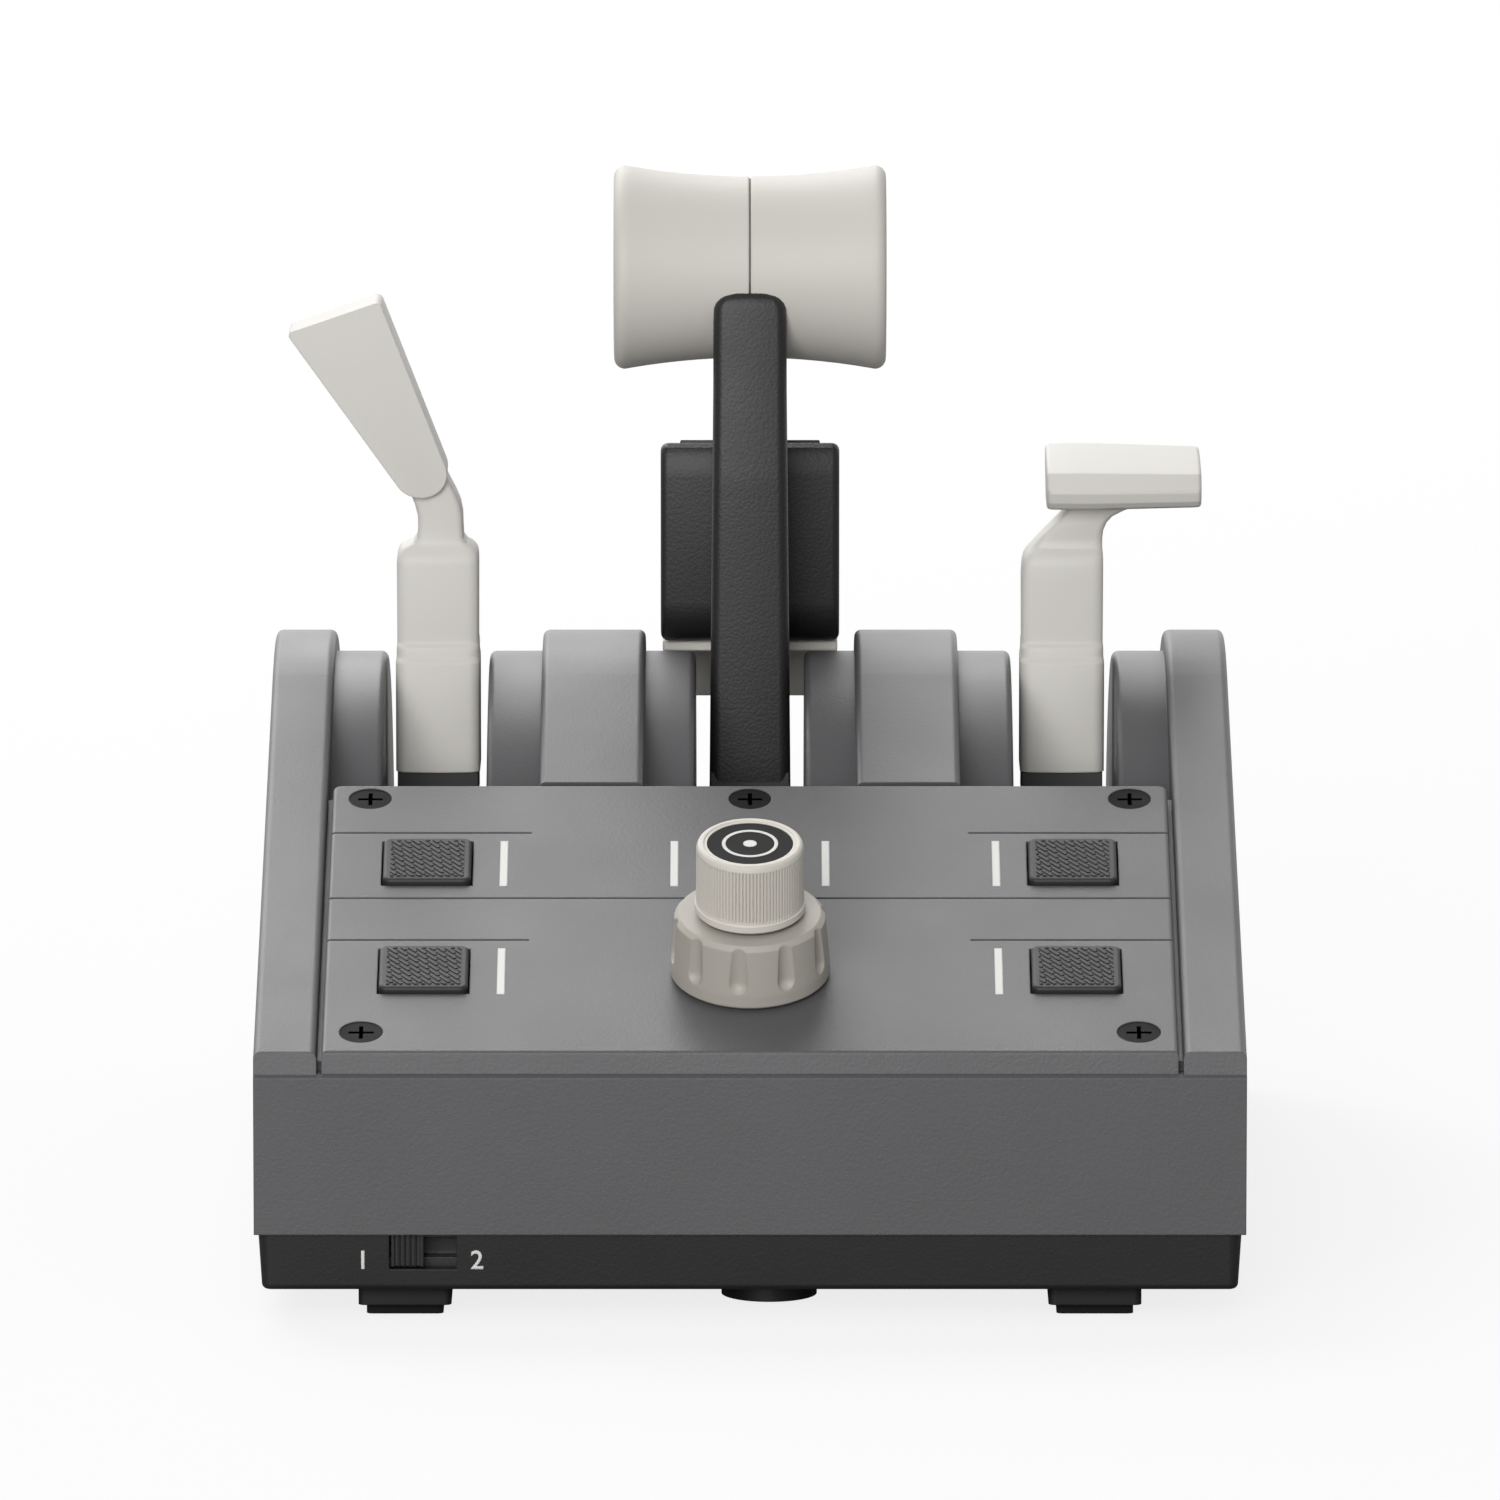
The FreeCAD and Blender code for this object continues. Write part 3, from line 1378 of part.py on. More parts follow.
def make_reverse_handle():
    pin_y = size("reverser_pin_back")
    pin_z = reverser_pin_height
    near = size("reverser_near")
    far = size("reverser_far")
    low = reverser_bottom
    top = reverser_top
    handle = new_piece("reverse_handle", (0, pivot_y, pivot_z))
    block = [
        (near, low + 6.5),
        (near + 6.5, low, as_size(6.5), True),
        (far, low + 2.0),
        (far, top - 4.0),
        (far - 4.0, top, as_size(4.0), True),
        (near + 2.0, top),
        (near, top - 2.0, as_size(2.0), True),
    ]
    pad(outline(handle, "YZ_Plane", block), size("reverser_half_width") * 2, symmetric=True)
    side = size("reverser_half_width").value
    round_edges(handle, as_size(1.5), lambda middle, edge: abs(abs(middle.x) - side) < 0.01)
    add_box(handle, (-12.2, near + 3.5, top - 1), (12.2, near + 9.5, top + 0.9))
    cut_box(handle, (-4.4, near - 1, pin_z - 5.4), (4.4, pin_y + 5.4, top + 2))
    cut_cylinder(handle, size("reverser_pin_radius") + running, 24.2, (-12.1, pin_y, pin_z), "x")

    tail = new_piece("reverse_tail", (0, pivot_y, pivot_z))
    orbit = shoulder_radius + size("tail_clearance")
    first = as_size(20.0)
    last = as_size(44.0)
    block_slant = 2.0 / (far - near - 6.5)
    seat = low + (orbit * sine(first) - near - 6.5) * block_slant
    tail_profile = [
        (orbit * sine(first), seat),
        (far, low + 2.0),
        (far, low + 12),
        (far + 4.0, low + 12),
        (orbit * sine(last) + 2.0, orbit * cosine(last) + 3.0),
        (orbit * sine(last), orbit * cosine(last)),
        (orbit * sine(first), orbit * cosine(first), orbit, True),
    ]
    pad(outline(tail, "YZ_Plane", tail_profile), size("tail_half_width") * 2, symmetric=True)
    return handle


# ---------------------------------------------------------------- inside the tray

def make_inner_parts():
    head_radius = size("pan_head_radius")
    head_height = size("pan_head_height")
    inset = size("inner_screw_inset")
    plate = new_piece("ballast_plate")
    plate_half = size("ballast_half_width")
    plate_front = front + size("ballast_setback")
    plate_rear = plate_front + size("ballast_length")
    plate_top = tray_floor + size("ballast_thickness")
    add_box(plate, (-plate_half, plate_front, tray_floor), (plate_half, plate_rear, plate_top))

    board = new_piece("main_board")
    stand = size("standoff_height")
    level = tray_floor + stand
    board_top = level + size("board_thickness")
    board_half = size("main_board_half_width")
    board_rear = rear - size("main_board_rear_gap")
    board_front = board_rear - size("main_board_length")
    add_box(board, (-board_half, board_front, level), (board_half, board_rear, board_top))

    stands = new_piece("board_standoffs")
    screws = new_piece("pan_screws")
    for side in (-1, 1):
        for along in (board_front + inset, board_rear - inset):
            across = side * (board_half - inset)
            cut_cylinder(board, 1.6, 6.0, (across, along, tray_floor))
            add_cylinder(stands, 3.0, stand, (across, along, tray_floor))
            add_cylinder(screws, head_radius, head_height, (across, along, board_top))
        for along in (plate_front + inset, plate_rear - inset):
            across = side * (plate_half - inset)
            add_cylinder(screws, head_radius, head_height, (across, along, plate_top))
    for lever in LEVERS:
        for across, along in yoke_screw_places():
            place_of_head = (lever_x(lever) + across, pivot_y + along, tray_floor + size("yoke_base"))
            add_cylinder(screws, head_radius, head_height, place_of_head)
    socket = new_piece("data_socket")
    across = size("socket_across")
    shell_half = size("socket_half_width")
    mouth_half = shell_half - size("socket_wall")
    tongue_half = mouth_half - 0.9
    face = rear - size("socket_setback")
    back = face - size("socket_length")
    add_box(socket, (across - shell_half, back, board_top), (across + shell_half, face, board_top + 3.2))
    round_edges(socket, as_size(1.2), lambda middle, edge: edge.BoundBox.YLength > 5)
    cut_box(socket, (across - mouth_half, back + 1, board_top + size("socket_wall")),
            (across + mouth_half, face + 3, board_top + 2.8))
    add_box(socket, (across - tongue_half, back + 0.5, board_top + 1.3),
            (across + tongue_half, face - 1.5, board_top + 1.9))
    housing_screws = new_piece("housing_screws")
    for across, along in housing_screw_places():
        add_cylinder(housing_screws, size("housing_screw_radius"), size("housing_screw_length"),
                     (across, along, size("foot_height") + 2))
        add_cylinder(housing_screws, 3.0, 2.4, (across, along, size("foot_height") + 0.6))
    board_screws = new_piece("board_screws", (0, slope_y, slope_z), "slope")
    under = -size("board_depth") - size("board_thickness")
    for across, along in board_screw_places():
        add_cylinder(board_screws, 1.0, 5.0, (across, along, under))
        add_cylinder(board_screws, 2.2, 1.4, (across, along, under - 1.4))


# ---------------------------------------------------------------- build, check and write

def check_document():
    document.recompute()
    faults = []
    for item in document.Objects:
        if "Invalid" in item.State or "Error" in item.State:
            faults.append(item.Name)
    for piece in NODES:
        if piece.Shape.isNull() or not piece.Shape.isValid():
            faults.append(piece.Label)
    if faults:
        raise RuntimeError("these objects failed: " + ", ".join(faults))


def write_parts():
    os.makedirs("parts", exist_ok=True)
    for piece in NODES:
        piece.Shape.exportStep("parts/%s.step" % piece.Label)


make_base_tray()
make_mount_insert()
make_feet()
make_upper_housing()
make_control_panel()
make_panel_screws()
make_buttons()
make_panel_board()
make_rotary_switch()
make_slide_switch()
make_yokes()
make_axle()
make_channel_floors()
make_speedbrake_lever()
make_flap_lever()
make_thrust_lever()
make_reverse_handle()
make_inner_parts()
check_document()
write_parts()
print(len(NODES), "pieces written")
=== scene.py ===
import math

import bpy
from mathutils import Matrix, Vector


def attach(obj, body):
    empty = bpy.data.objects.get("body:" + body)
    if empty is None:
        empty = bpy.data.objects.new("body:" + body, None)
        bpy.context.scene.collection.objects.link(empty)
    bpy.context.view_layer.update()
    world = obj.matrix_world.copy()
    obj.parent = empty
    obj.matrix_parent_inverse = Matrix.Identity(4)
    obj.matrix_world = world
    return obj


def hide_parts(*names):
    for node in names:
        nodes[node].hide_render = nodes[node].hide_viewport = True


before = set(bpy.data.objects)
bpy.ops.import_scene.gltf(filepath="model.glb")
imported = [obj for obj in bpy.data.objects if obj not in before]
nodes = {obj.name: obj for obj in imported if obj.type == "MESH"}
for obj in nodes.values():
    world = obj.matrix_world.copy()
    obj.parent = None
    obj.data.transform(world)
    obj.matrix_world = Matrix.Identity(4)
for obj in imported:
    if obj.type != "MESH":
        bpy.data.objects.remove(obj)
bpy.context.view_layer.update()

MM = 0.001
bpy.ops.object.select_all(action="DESELECT")
scene = bpy.context.scene
scene.view_settings.view_transform = "Standard"


# ---------------------------------------------------------------- studio
# A white sweep and two soft lamps: a broad one behind that glances off every upward face and a fill from
# the front left. The sweep shines brighter towards the rear, which gives the outlines their pale rims.

def linear(colour):
    """A linear colour from an sRGB hex value."""
    parts = [int(colour[start:start + 2], 16) / 255 for start in (1, 3, 5)]
    return tuple(part / 12.92 if part <= 0.04045 else ((part + 0.055) / 1.055) ** 2.4
                 for part in parts) + (1.0,)


def add_node(tree, kind, settings={}, **inputs):
    """Adds a node with its settings. An input is given a number or a colour, or the output that feeds it."""
    made = tree.nodes.new(kind)
    for name, setting in settings.items():
        setattr(made, name, setting)
    for name, given in inputs.items():
        socket = made.inputs[int(name[1:])] if name[0] == "_" else made.inputs[name.replace("_", " ")]
        if isinstance(given, bpy.types.NodeSocket):
            tree.links.new(given, socket)
        else:
            socket.default_value = given
    return made


camera = bpy.data.objects.new("camera", bpy.data.cameras.new("camera"))
scene.collection.objects.link(camera)
camera.data.lens = 413.5
camera.data.sensor_width = 36
camera.data.clip_end = 20
camera.location = (0, -2.9163, 0.5766)
aim = Vector((0, -0.107, 0.0964))
camera.rotation_euler = (aim - camera.location).to_track_quat("-Z", "Y").to_euler()
scene.camera = camera

for name, place, aim, side, watts in (
        ("rear_softbox", (-0.65, 1.6, 1.7), (0, 0, 0.05), 1.9, 39),
        ("front_fill", (-0.5, -2.3, 0.85), (0, 0, 0.08), 1.3, 38)):
    lamp = bpy.data.objects.new(name, bpy.data.lights.new(name, "AREA"))
    lamp.data.shape = "SQUARE"
    lamp.data.size = side
    lamp.data.energy = watts
    lamp.location = place
    lamp.rotation_euler = (Vector(aim) - Vector(place)).to_track_quat("-Z", "Y").to_euler()
    scene.collection.objects.link(lamp)

world = bpy.data.worlds.new("white_studio")
scene.world = world
world.use_nodes = True
tree = world.node_tree
tree.nodes.clear()
rays = add_node(tree, "ShaderNodeLightPath")
towards_rear = add_node(tree, "ShaderNodeSeparateXYZ", Vector=add_node(
    tree, "ShaderNodeTexCoord").outputs["Generated"]).outputs["Y"]
horizon = add_node(tree, "ShaderNodeMapRange", Value=towards_rear, _1=0.3, _2=0.95, _3=0.35, _4=1.6)
glanced = add_node(tree, "ShaderNodeMix", {"data_type": "FLOAT"}, _0=rays.outputs["Is Glossy Ray"], _2=0.35,
                   _3=horizon.outputs[0])
all_round = add_node(tree, "ShaderNodeBackground", Color=(1, 1, 1, 1), Strength=glanced.outputs[0])
backdrop = add_node(tree, "ShaderNodeBackground", Color=(1, 1, 1, 1), Strength=1.0)
either = add_node(tree, "ShaderNodeMixShader", _0=rays.outputs["Is Camera Ray"], _1=all_round.outputs[0],
                  _2=backdrop.outputs[0])
add_node(tree, "ShaderNodeOutputWorld", Surface=either.outputs[0])

bpy.ops.mesh.primitive_plane_add(size=8, location=(0, 0, -0.0002))
floor = bpy.context.object
floor.name = "studio_floor"
paper = bpy.data.materials.new("white_paper_sweep")
paper.use_nodes = True
tree = paper.node_tree
tree.nodes.clear()
rays = add_node(tree, "ShaderNodeLightPath")
shown = rays.outputs["Is Camera Ray"]
tone = add_node(tree, "ShaderNodeMix", {"data_type": "RGBA"}, _0=shown, _6=(0.28, 0.28, 0.28, 1),
                _7=(0.95, 0.95, 0.95, 1))
matt = add_node(tree, "ShaderNodeBsdfDiffuse", Color=tone.outputs[2])
white = add_node(tree, "ShaderNodeEmission", Color=(1, 1, 1, 1), Strength=1.0)
depth = add_node(tree, "ShaderNodeSeparateXYZ", Vector=add_node(
    tree, "ShaderNodeTexCoord").outputs["Object"]).outputs["Y"]
far_floor = add_node(tree, "ShaderNodeMapRange", Value=depth, _1=0.2, _2=0.9, _3=0.0, _4=0.9)
seen_far = add_node(tree, "ShaderNodeMath", {"operation": "MULTIPLY"}, _0=rays.outputs["Is Glossy Ray"],
                    _1=far_floor.outputs[0])
part = add_node(tree, "ShaderNodeMath", {"operation": "MULTIPLY_ADD"}, _0=shown, _1=0.82,
                _2=seen_far.outputs[0])
sweep = add_node(tree, "ShaderNodeMixShader", _0=part.outputs[0], _1=matt.outputs[0], _2=white.outputs[0])
add_node(tree, "ShaderNodeOutputMaterial", Surface=sweep.outputs[0])
floor.data.materials.append(paper)
bpy.ops.object.select_all(action="DESELECT")


# ---------------------------------------------------------------- upper housing
# The large moulded cover of mid-grey ABS: a fascia, two cheeks and the humps with round-topped fins
# beside the three lever slots. Its mould was spark-eroded, so the surface has a fine even grain.

def new_finish(name):
    """An empty material, its node tree and the tree's output."""
    material = bpy.data.materials.new(name)
    material.use_nodes = True
    material.node_tree.nodes.clear()
    return material, material.node_tree


def moulded(name, colour, roughness, grain, depth, mottle=0.05, sheen_change=0.06, edge=0.35):
    """Moulded plastic or rubber: a grain so many millimetres across and deep, colour and gloss that
    vary a little over centimetres, and edges rounded by so many millimetres, as the mould leaves them."""
    material, tree = new_finish(name)
    where = add_node(tree, "ShaderNodeTexCoord").outputs["Object"]
    cloud = add_node(tree, "ShaderNodeTexNoise", Vector=where, Scale=1 / (22 * MM), Detail=3.0)
    base = linear(colour)
    low = tuple(part * (1 - mottle) for part in base[:3]) + (1.0,)
    high = tuple(min(part * (1 + mottle), 1.0) for part in base[:3]) + (1.0,)
    tone = add_node(tree, "ShaderNodeMix", {"data_type": "RGBA"}, _0=cloud.outputs["Fac"], _6=low, _7=high)
    gloss = add_node(tree, "ShaderNodeMapRange", Value=cloud.outputs["Fac"], _3=roughness - sheen_change,
                     _4=roughness + sheen_change)
    pits = add_node(tree, "ShaderNodeTexNoise", Vector=where, Scale=1 / (grain * MM), Detail=2.0,
                    Roughness=0.6)
    softened = add_node(tree, "ShaderNodeBevel", {"samples": 4}, Radius=edge * MM)
    relief = add_node(tree, "ShaderNodeBump", Strength=1.0, Distance=depth * MM, Height=pits.outputs["Fac"],
                      Normal=softened.outputs[0])
    shader = add_node(tree, "ShaderNodeBsdfPrincipled", Base_Color=tone.outputs[2],
                      Roughness=gloss.outputs[0], Normal=relief.outputs[0], IOR=1.53)
    add_node(tree, "ShaderNodeOutputMaterial", Surface=shader.outputs[0])
    return material


def dress(material, *names):
    """Gives CAD nodes a finish."""
    for name in names:
        for slot in nodes[name].material_slots:
            slot.material = material


# spark-eroded ABS: a matt mid grey whose fine grain breaks up the light along the fins
housing_abs = moulded("grey_abs_fine_grain", "#58585a", 0.45, 0.55, 0.045)
dress(housing_abs, "upper_housing")


# ---------------------------------------------------------------- base tray, feet and slide switch
# The black ABS tray that closes the housing from below, with its four foot blocks, their rubber pads
# and the sliding engine selector in a window of its front wall.

# satin ABS: an even black with a soft sheen
tray_abs = moulded("black_abs_satin_grain", "#181818", 0.5, 0.6, 0.03)
dress(tray_abs, "base_tray")
# plain ABS: duller and darker than the tray above it; the extra darkness is painted shade for the shadow the
# feet sit in under the tray
foot_abs_painted_shade = moulded("black_abs_foot_block_painted_shade", "#0c0c0c", 0.7, 0.6, 0.02)
dress(foot_abs_painted_shade, "foot_blocks")
# soft black rubber: almost no gloss, the darkest thing on the object; its colour is deepened almost to
# nothing as painted shade for the shadow under the tray
foot_rubber_painted_shade = moulded("black_foot_rubber", "#040404", 0.95, 0.5, 0.03)
dress(foot_rubber_painted_shade, "rubber_feet")
# finer ABS: a little glossier than the tray, so the slider reads apart from it
switch_abs = moulded("black_abs_switch", "#1d1d1e", 0.42, 0.4, 0.01)
dress(switch_abs, "engine_slide_switch", "slide_switch_body", "tact_switches", "encoder_body")


def select_only(*objects):
    """Selects these objects alone and makes the first the active one."""
    bpy.ops.object.select_all(action="DESELECT")
    for obj in objects:
        obj.select_set(True)
    bpy.context.view_layer.objects.active = objects[0]


def finish_mesh(obj, name, material, body):
    """Applies an object's place to its mesh, gives it its finish and lets it ride on a body."""
    select_only(obj)
    bpy.ops.object.transform_apply(location=True, rotation=True, scale=True)
    obj.name = name
    obj.data.materials.clear()
    obj.data.materials.append(material)
    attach(obj, body)
    obj.select_set(False)
    return obj


# pad-printed ink: an opaque, flat white
white_ink = moulded("white_pad_print_ink", "#e9e8e4", 0.55, 0.3, 0.006, mottle=0.02)
TRAY_FACE_Y = -106.02
TRAY_LEAN = math.atan(0.6 / 9.6)
NUMERAL_LOW, NUMERAL_SIZE = 8.7, 4.5
INK_SPREAD, INK_HALF_THICK = 0.06, 0.03
for name, across, digit in (("numeral_left", -64.4, "1"), ("numeral_right", -45.4, "2")):
    bpy.ops.object.text_add(location=(across * MM, TRAY_FACE_Y * MM, NUMERAL_LOW * MM),
                            rotation=(math.pi / 2 + TRAY_LEAN, 0, 0))
    numeral = bpy.context.object
    numeral.data.body = digit
    numeral.data.size = NUMERAL_SIZE * MM
    numeral.data.align_x = "CENTER"
    numeral.data.offset = INK_SPREAD * MM
    numeral.data.extrude = INK_HALF_THICK * MM
    bpy.ops.object.convert(target="MESH")
    finish_mesh(bpy.context.object, name, white_ink, "console")


# ---------------------------------------------------------------- control panel
# The removable sloping panel, grey ABS like the housing, with engraved lines, five black countersunk
# screws and white printed bars beside the keys.

PIVOT_Y, PIVOT_Z = 41.0, 25.5
PIVOT_TO_PANEL = 66.0
SLOPE = math.radians(18.75)
HALF_DEPTH, NOSE = 107.0, 1.2
SLOPE_Y = -HALF_DEPTH + NOSE
SLOPE_Z = PIVOT_Z + (PIVOT_TO_PANEL + math.sin(SLOPE) * (SLOPE_Y - PIVOT_Y)) / math.cos(SLOPE)
UPPER_ROW, LOWER_ROW = 64.8, 27.4

# the housing's ABS from a mould of its own: the same grey, a touch less glossy
panel_abs = moulded("grey_abs_panel", "#58585a", 0.47, 0.6, 0.05)
dress(panel_abs, "control_panel")


def on_slope(across, along, above=0.0):
    """A point given in the sloping panel's own millimetres."""
    return Vector((across * MM,
                   (SLOPE_Y + along * math.cos(SLOPE) - above * math.sin(SLOPE)) * MM,
                   (SLOPE_Z + along * math.sin(SLOPE) + above * math.cos(SLOPE)) * MM))


def soften(obj, width, segments, above=None):
    """Rounds an object's sharp edges to a width in millimetres, or only those above so many degrees."""
    select_only(obj)
    rounding = obj.modifiers.new("rounding", "BEVEL")
    rounding.width = width * MM
    rounding.segments = segments
    if above:
        rounding.limit_method = "ANGLE"
        rounding.angle_limit = math.radians(above)
    bpy.ops.object.modifier_apply(modifier=rounding.name)


PRINTED_BAR = Vector((1.34, 15.8, 0.08))
BESIDE_KEYS, BESIDE_MIDDLE = 41.65, 12.8
printed = []
for across, along in ((-BESIDE_KEYS, UPPER_ROW), (BESIDE_KEYS, UPPER_ROW), (-BESIDE_KEYS, LOWER_ROW),
                      (BESIDE_KEYS, LOWER_ROW), (-BESIDE_MIDDLE, UPPER_ROW), (BESIDE_MIDDLE, UPPER_ROW)):
    bpy.ops.mesh.primitive_cube_add(size=1, location=on_slope(across, along), rotation=(SLOPE, 0, 0))
    bpy.context.object.scale = PRINTED_BAR * MM
    bpy.ops.object.transform_apply(location=False, rotation=False, scale=True)
    printed.append(bpy.context.object)
    soften(printed[-1], 0.03, 2)
select_only(*printed)
bpy.ops.object.join()
finish_mesh(bpy.context.object, "printed_bars", white_ink, "console")


def bare_metal(name, colour, roughness, scratch, change=0.08):
    """A metal part with fine random scratches so many millimetres apart and dulled patches."""
    material, tree = new_finish(name)
    where = add_node(tree, "ShaderNodeTexCoord").outputs["Object"]
    patch = add_node(tree, "ShaderNodeTexNoise", Vector=where, Scale=1 / (6 * MM), Detail=4.0)
    base = linear(colour)
    dull = tuple(part * 0.85 for part in base[:3]) + (1.0,)
    tone = add_node(tree, "ShaderNodeMix", {"data_type": "RGBA"}, _0=patch.outputs["Fac"], _6=dull, _7=base)
    gloss = add_node(tree, "ShaderNodeMapRange", Value=patch.outputs["Fac"], _3=roughness - change,
                     _4=roughness + change)
    marks = add_node(tree, "ShaderNodeTexNoise", Vector=where, Scale=1 / (scratch * MM), Detail=5.0)
    relief = add_node(tree, "ShaderNodeBump", Strength=0.6, Distance=0.01 * MM, Height=marks.outputs["Fac"])
    shader = add_node(tree, "ShaderNodeBsdfPrincipled", Base_Color=tone.outputs[2], Metallic=1.0,
                      Roughness=gloss.outputs[0], Normal=relief.outputs[0])
    add_node(tree, "ShaderNodeOutputMaterial", Surface=shader.outputs[0])
    return material


# black zinc plate: nearly black heads with a dull glint
dress(bare_metal("black_zinc_screw_steel", "#0c0c0c", 0.6, 0.3), "panel_screws")


# ---------------------------------------------------------------- keys
# Four square push-buttons of black rubber. Inside a plain rim their tops are moulded with a diagonal
# weave: short rounded ribs, each row stepped against the next.

# silicone rubber: black, its small ribs picked out by soft glints
key_rubber = moulded("black_key_rubber", "#2a2a2b", 0.55, 0.3, 0.02, edge=0.08)
dress(key_rubber, "button_upper_left", "button_upper_right", "button_lower_left", "button_lower_right")

KEY_ACROSS, KEY_TOP = 54.6, 1.0
WEAVE_HALF = 6.2
RIB_LENGTH, RIB_WIDTH, RIB_HEIGHT = 2.5, 0.62, 0.32
RIB_PITCH, RIB_GAP = 0.95, 0.45
RIB_TURN = math.radians(-52)
ROWS_EACH_WAY, STEPS_EACH_WAY = 10, 4
# a rib whose middle lies further past the rim than this is left out, and the rest are cut off at the rim
RIM_OVERLAP = 0.9

bpy.ops.mesh.primitive_cube_add(size=1)
rib = bpy.context.object
rib.scale = (RIB_LENGTH * MM, RIB_WIDTH * MM, RIB_HEIGHT * MM)
rib.rotation_euler = (0, 0, RIB_TURN)
select_only(rib)
bpy.ops.object.transform_apply(location=False, rotation=True, scale=True)
soften(rib, 0.13, 2)
ribs = []
along_rib = Vector((math.cos(RIB_TURN), math.sin(RIB_TURN), 0))
across_rib = Vector((-math.sin(RIB_TURN), math.cos(RIB_TURN), 0))
for row in range(-ROWS_EACH_WAY, ROWS_EACH_WAY + 1):
    for step in range(-STEPS_EACH_WAY, STEPS_EACH_WAY + 1):
        middle = across_rib * row * RIB_PITCH + along_rib * (step + row % 2 * 0.5) * (RIB_LENGTH + RIB_GAP)
        if max(abs(middle.x), abs(middle.y)) < WEAVE_HALF + RIM_OVERLAP:
            copy = rib.copy()
            copy.data = rib.data.copy()
            copy.location = middle * MM
            scene.collection.objects.link(copy)
            ribs.append(copy)
bpy.data.objects.remove(rib)
select_only(*ribs)
bpy.ops.object.join()
weave = bpy.context.object
bpy.ops.object.transform_apply(location=True, rotation=True, scale=True)
bpy.ops.object.mode_set(mode="EDIT")
for normal in ((1, 0, 0), (-1, 0, 0), (0, 1, 0), (0, -1, 0)):
    bpy.ops.mesh.select_all(action="SELECT")
    bpy.ops.mesh.bisect(plane_co=Vector(normal) * WEAVE_HALF * MM, plane_no=normal, use_fill=True,
                        clear_outer=True)
bpy.ops.object.mode_set(mode="OBJECT")
for name, across, along in (("upper_left", -KEY_ACROSS, UPPER_ROW), ("upper_right", KEY_ACROSS, UPPER_ROW),
                            ("lower_left", -KEY_ACROSS, LOWER_ROW), ("lower_right", KEY_ACROSS, LOWER_ROW)):
    copy = weave.copy()
    copy.data = weave.data.copy()
    scene.collection.objects.link(copy)
    copy.rotation_euler = (SLOPE, 0, 0)
    copy.location = on_slope(across, along, KEY_TOP)
    finish_mesh(copy, "key_weave_" + name, key_rubber, "push_" + name)
bpy.data.objects.remove(weave)


# ---------------------------------------------------------------- rotary knobs
# The ivory ABS mode ring with ten finger scallops, and above it the select knob that turns and
# presses: fine straight knurling between a plain foot and a rounded rim, with a black disc let in.

# ivory ABS with crisp edges, so that each rib of the knurl keeps its own thin highlight
knob_abs = moulded("ivory_abs_knob", "#d9d4cb", 0.45, 0.4, 0.008, mottle=0.02, edge=0.08)
# the same ivory ABS as the knob, duller, with soft edges; its colour is darkened as painted shade from the
# knob above it
ring_abs_painted_shade = moulded("ivory_abs_ring_painted_shade", "#b4afa6", 0.5, 0.4, 0.008, mottle=0.02, edge=0.4)
dress(ring_abs_painted_shade, "selector_ring")
KNOB_ROW = 26.8
RIBS_ROUND, POINTS_PER_RIB = 96, 4
KNURL_LOW, KNURL_HIGH = 14.2, 23.9
GROOVE_SHARE = 0.965
# each ring: height over the panel and radius
KNOB_RINGS = ((12.4, 8.9), (12.75, 9.25), (13.8, 9.25), (14.0, 9.05), (KNURL_LOW, 9.02), (14.5, 9.02),
              (23.6, 8.98), (KNURL_HIGH, 8.97), (24.3, 8.9), (24.7, 8.7), (24.95, 8.35), (25.0, 8.0),
              (24.95, 7.75), (24.78, 7.62), (24.78, 7.2), (24.2, 7.15))

bpy.ops.mesh.primitive_circle_add(vertices=RIBS_ROUND * POINTS_PER_RIB, radius=KNOB_RINGS[0][1] * MM,
                                  location=(0, 0, KNOB_RINGS[0][0] * MM))
knob = bpy.context.object
bpy.ops.object.transform_apply(location=True)
bpy.ops.object.mode_set(mode="EDIT")
bpy.ops.mesh.select_all(action="SELECT")
for (low, narrow), (high, wide) in zip(KNOB_RINGS, KNOB_RINGS[1:]):
    bpy.ops.mesh.extrude_region_move(TRANSFORM_OT_translate={"value": (0, 0, (high - low) * MM)})
    bpy.ops.transform.resize(value=(wide / narrow, wide / narrow, 1), center_override=(0, 0, high * MM))
bpy.ops.mesh.fill()
bpy.ops.mesh.select_all(action="DESELECT")
bpy.ops.object.mode_set(mode="OBJECT")
for vertex in knob.data.vertices:
    turn = math.atan2(vertex.co.y, vertex.co.x) / (2 * math.pi) * RIBS_ROUND * POINTS_PER_RIB
    knurled = KNURL_LOW + 0.1 < vertex.co.z / MM < KNURL_HIGH - 0.1
    vertex.select = knurled and round(turn) % POINTS_PER_RIB == 0
bpy.ops.object.mode_set(mode="EDIT")
bpy.ops.transform.resize(value=(GROOVE_SHARE, GROOVE_SHARE, 1), center_override=(0, 0, 0))
bpy.ops.mesh.select_all(action="SELECT")
bpy.ops.mesh.normals_make_consistent(inside=False)
bpy.ops.object.mode_set(mode="OBJECT")
bpy.ops.object.shade_smooth_by_angle(angle=math.radians(24))
knob.rotation_euler = (SLOPE, 0, 0)
knob.location = on_slope(0, KNOB_ROW)
finish_mesh(knob, "knurled_knob", knob_abs, "select_push")
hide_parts("select_knob")

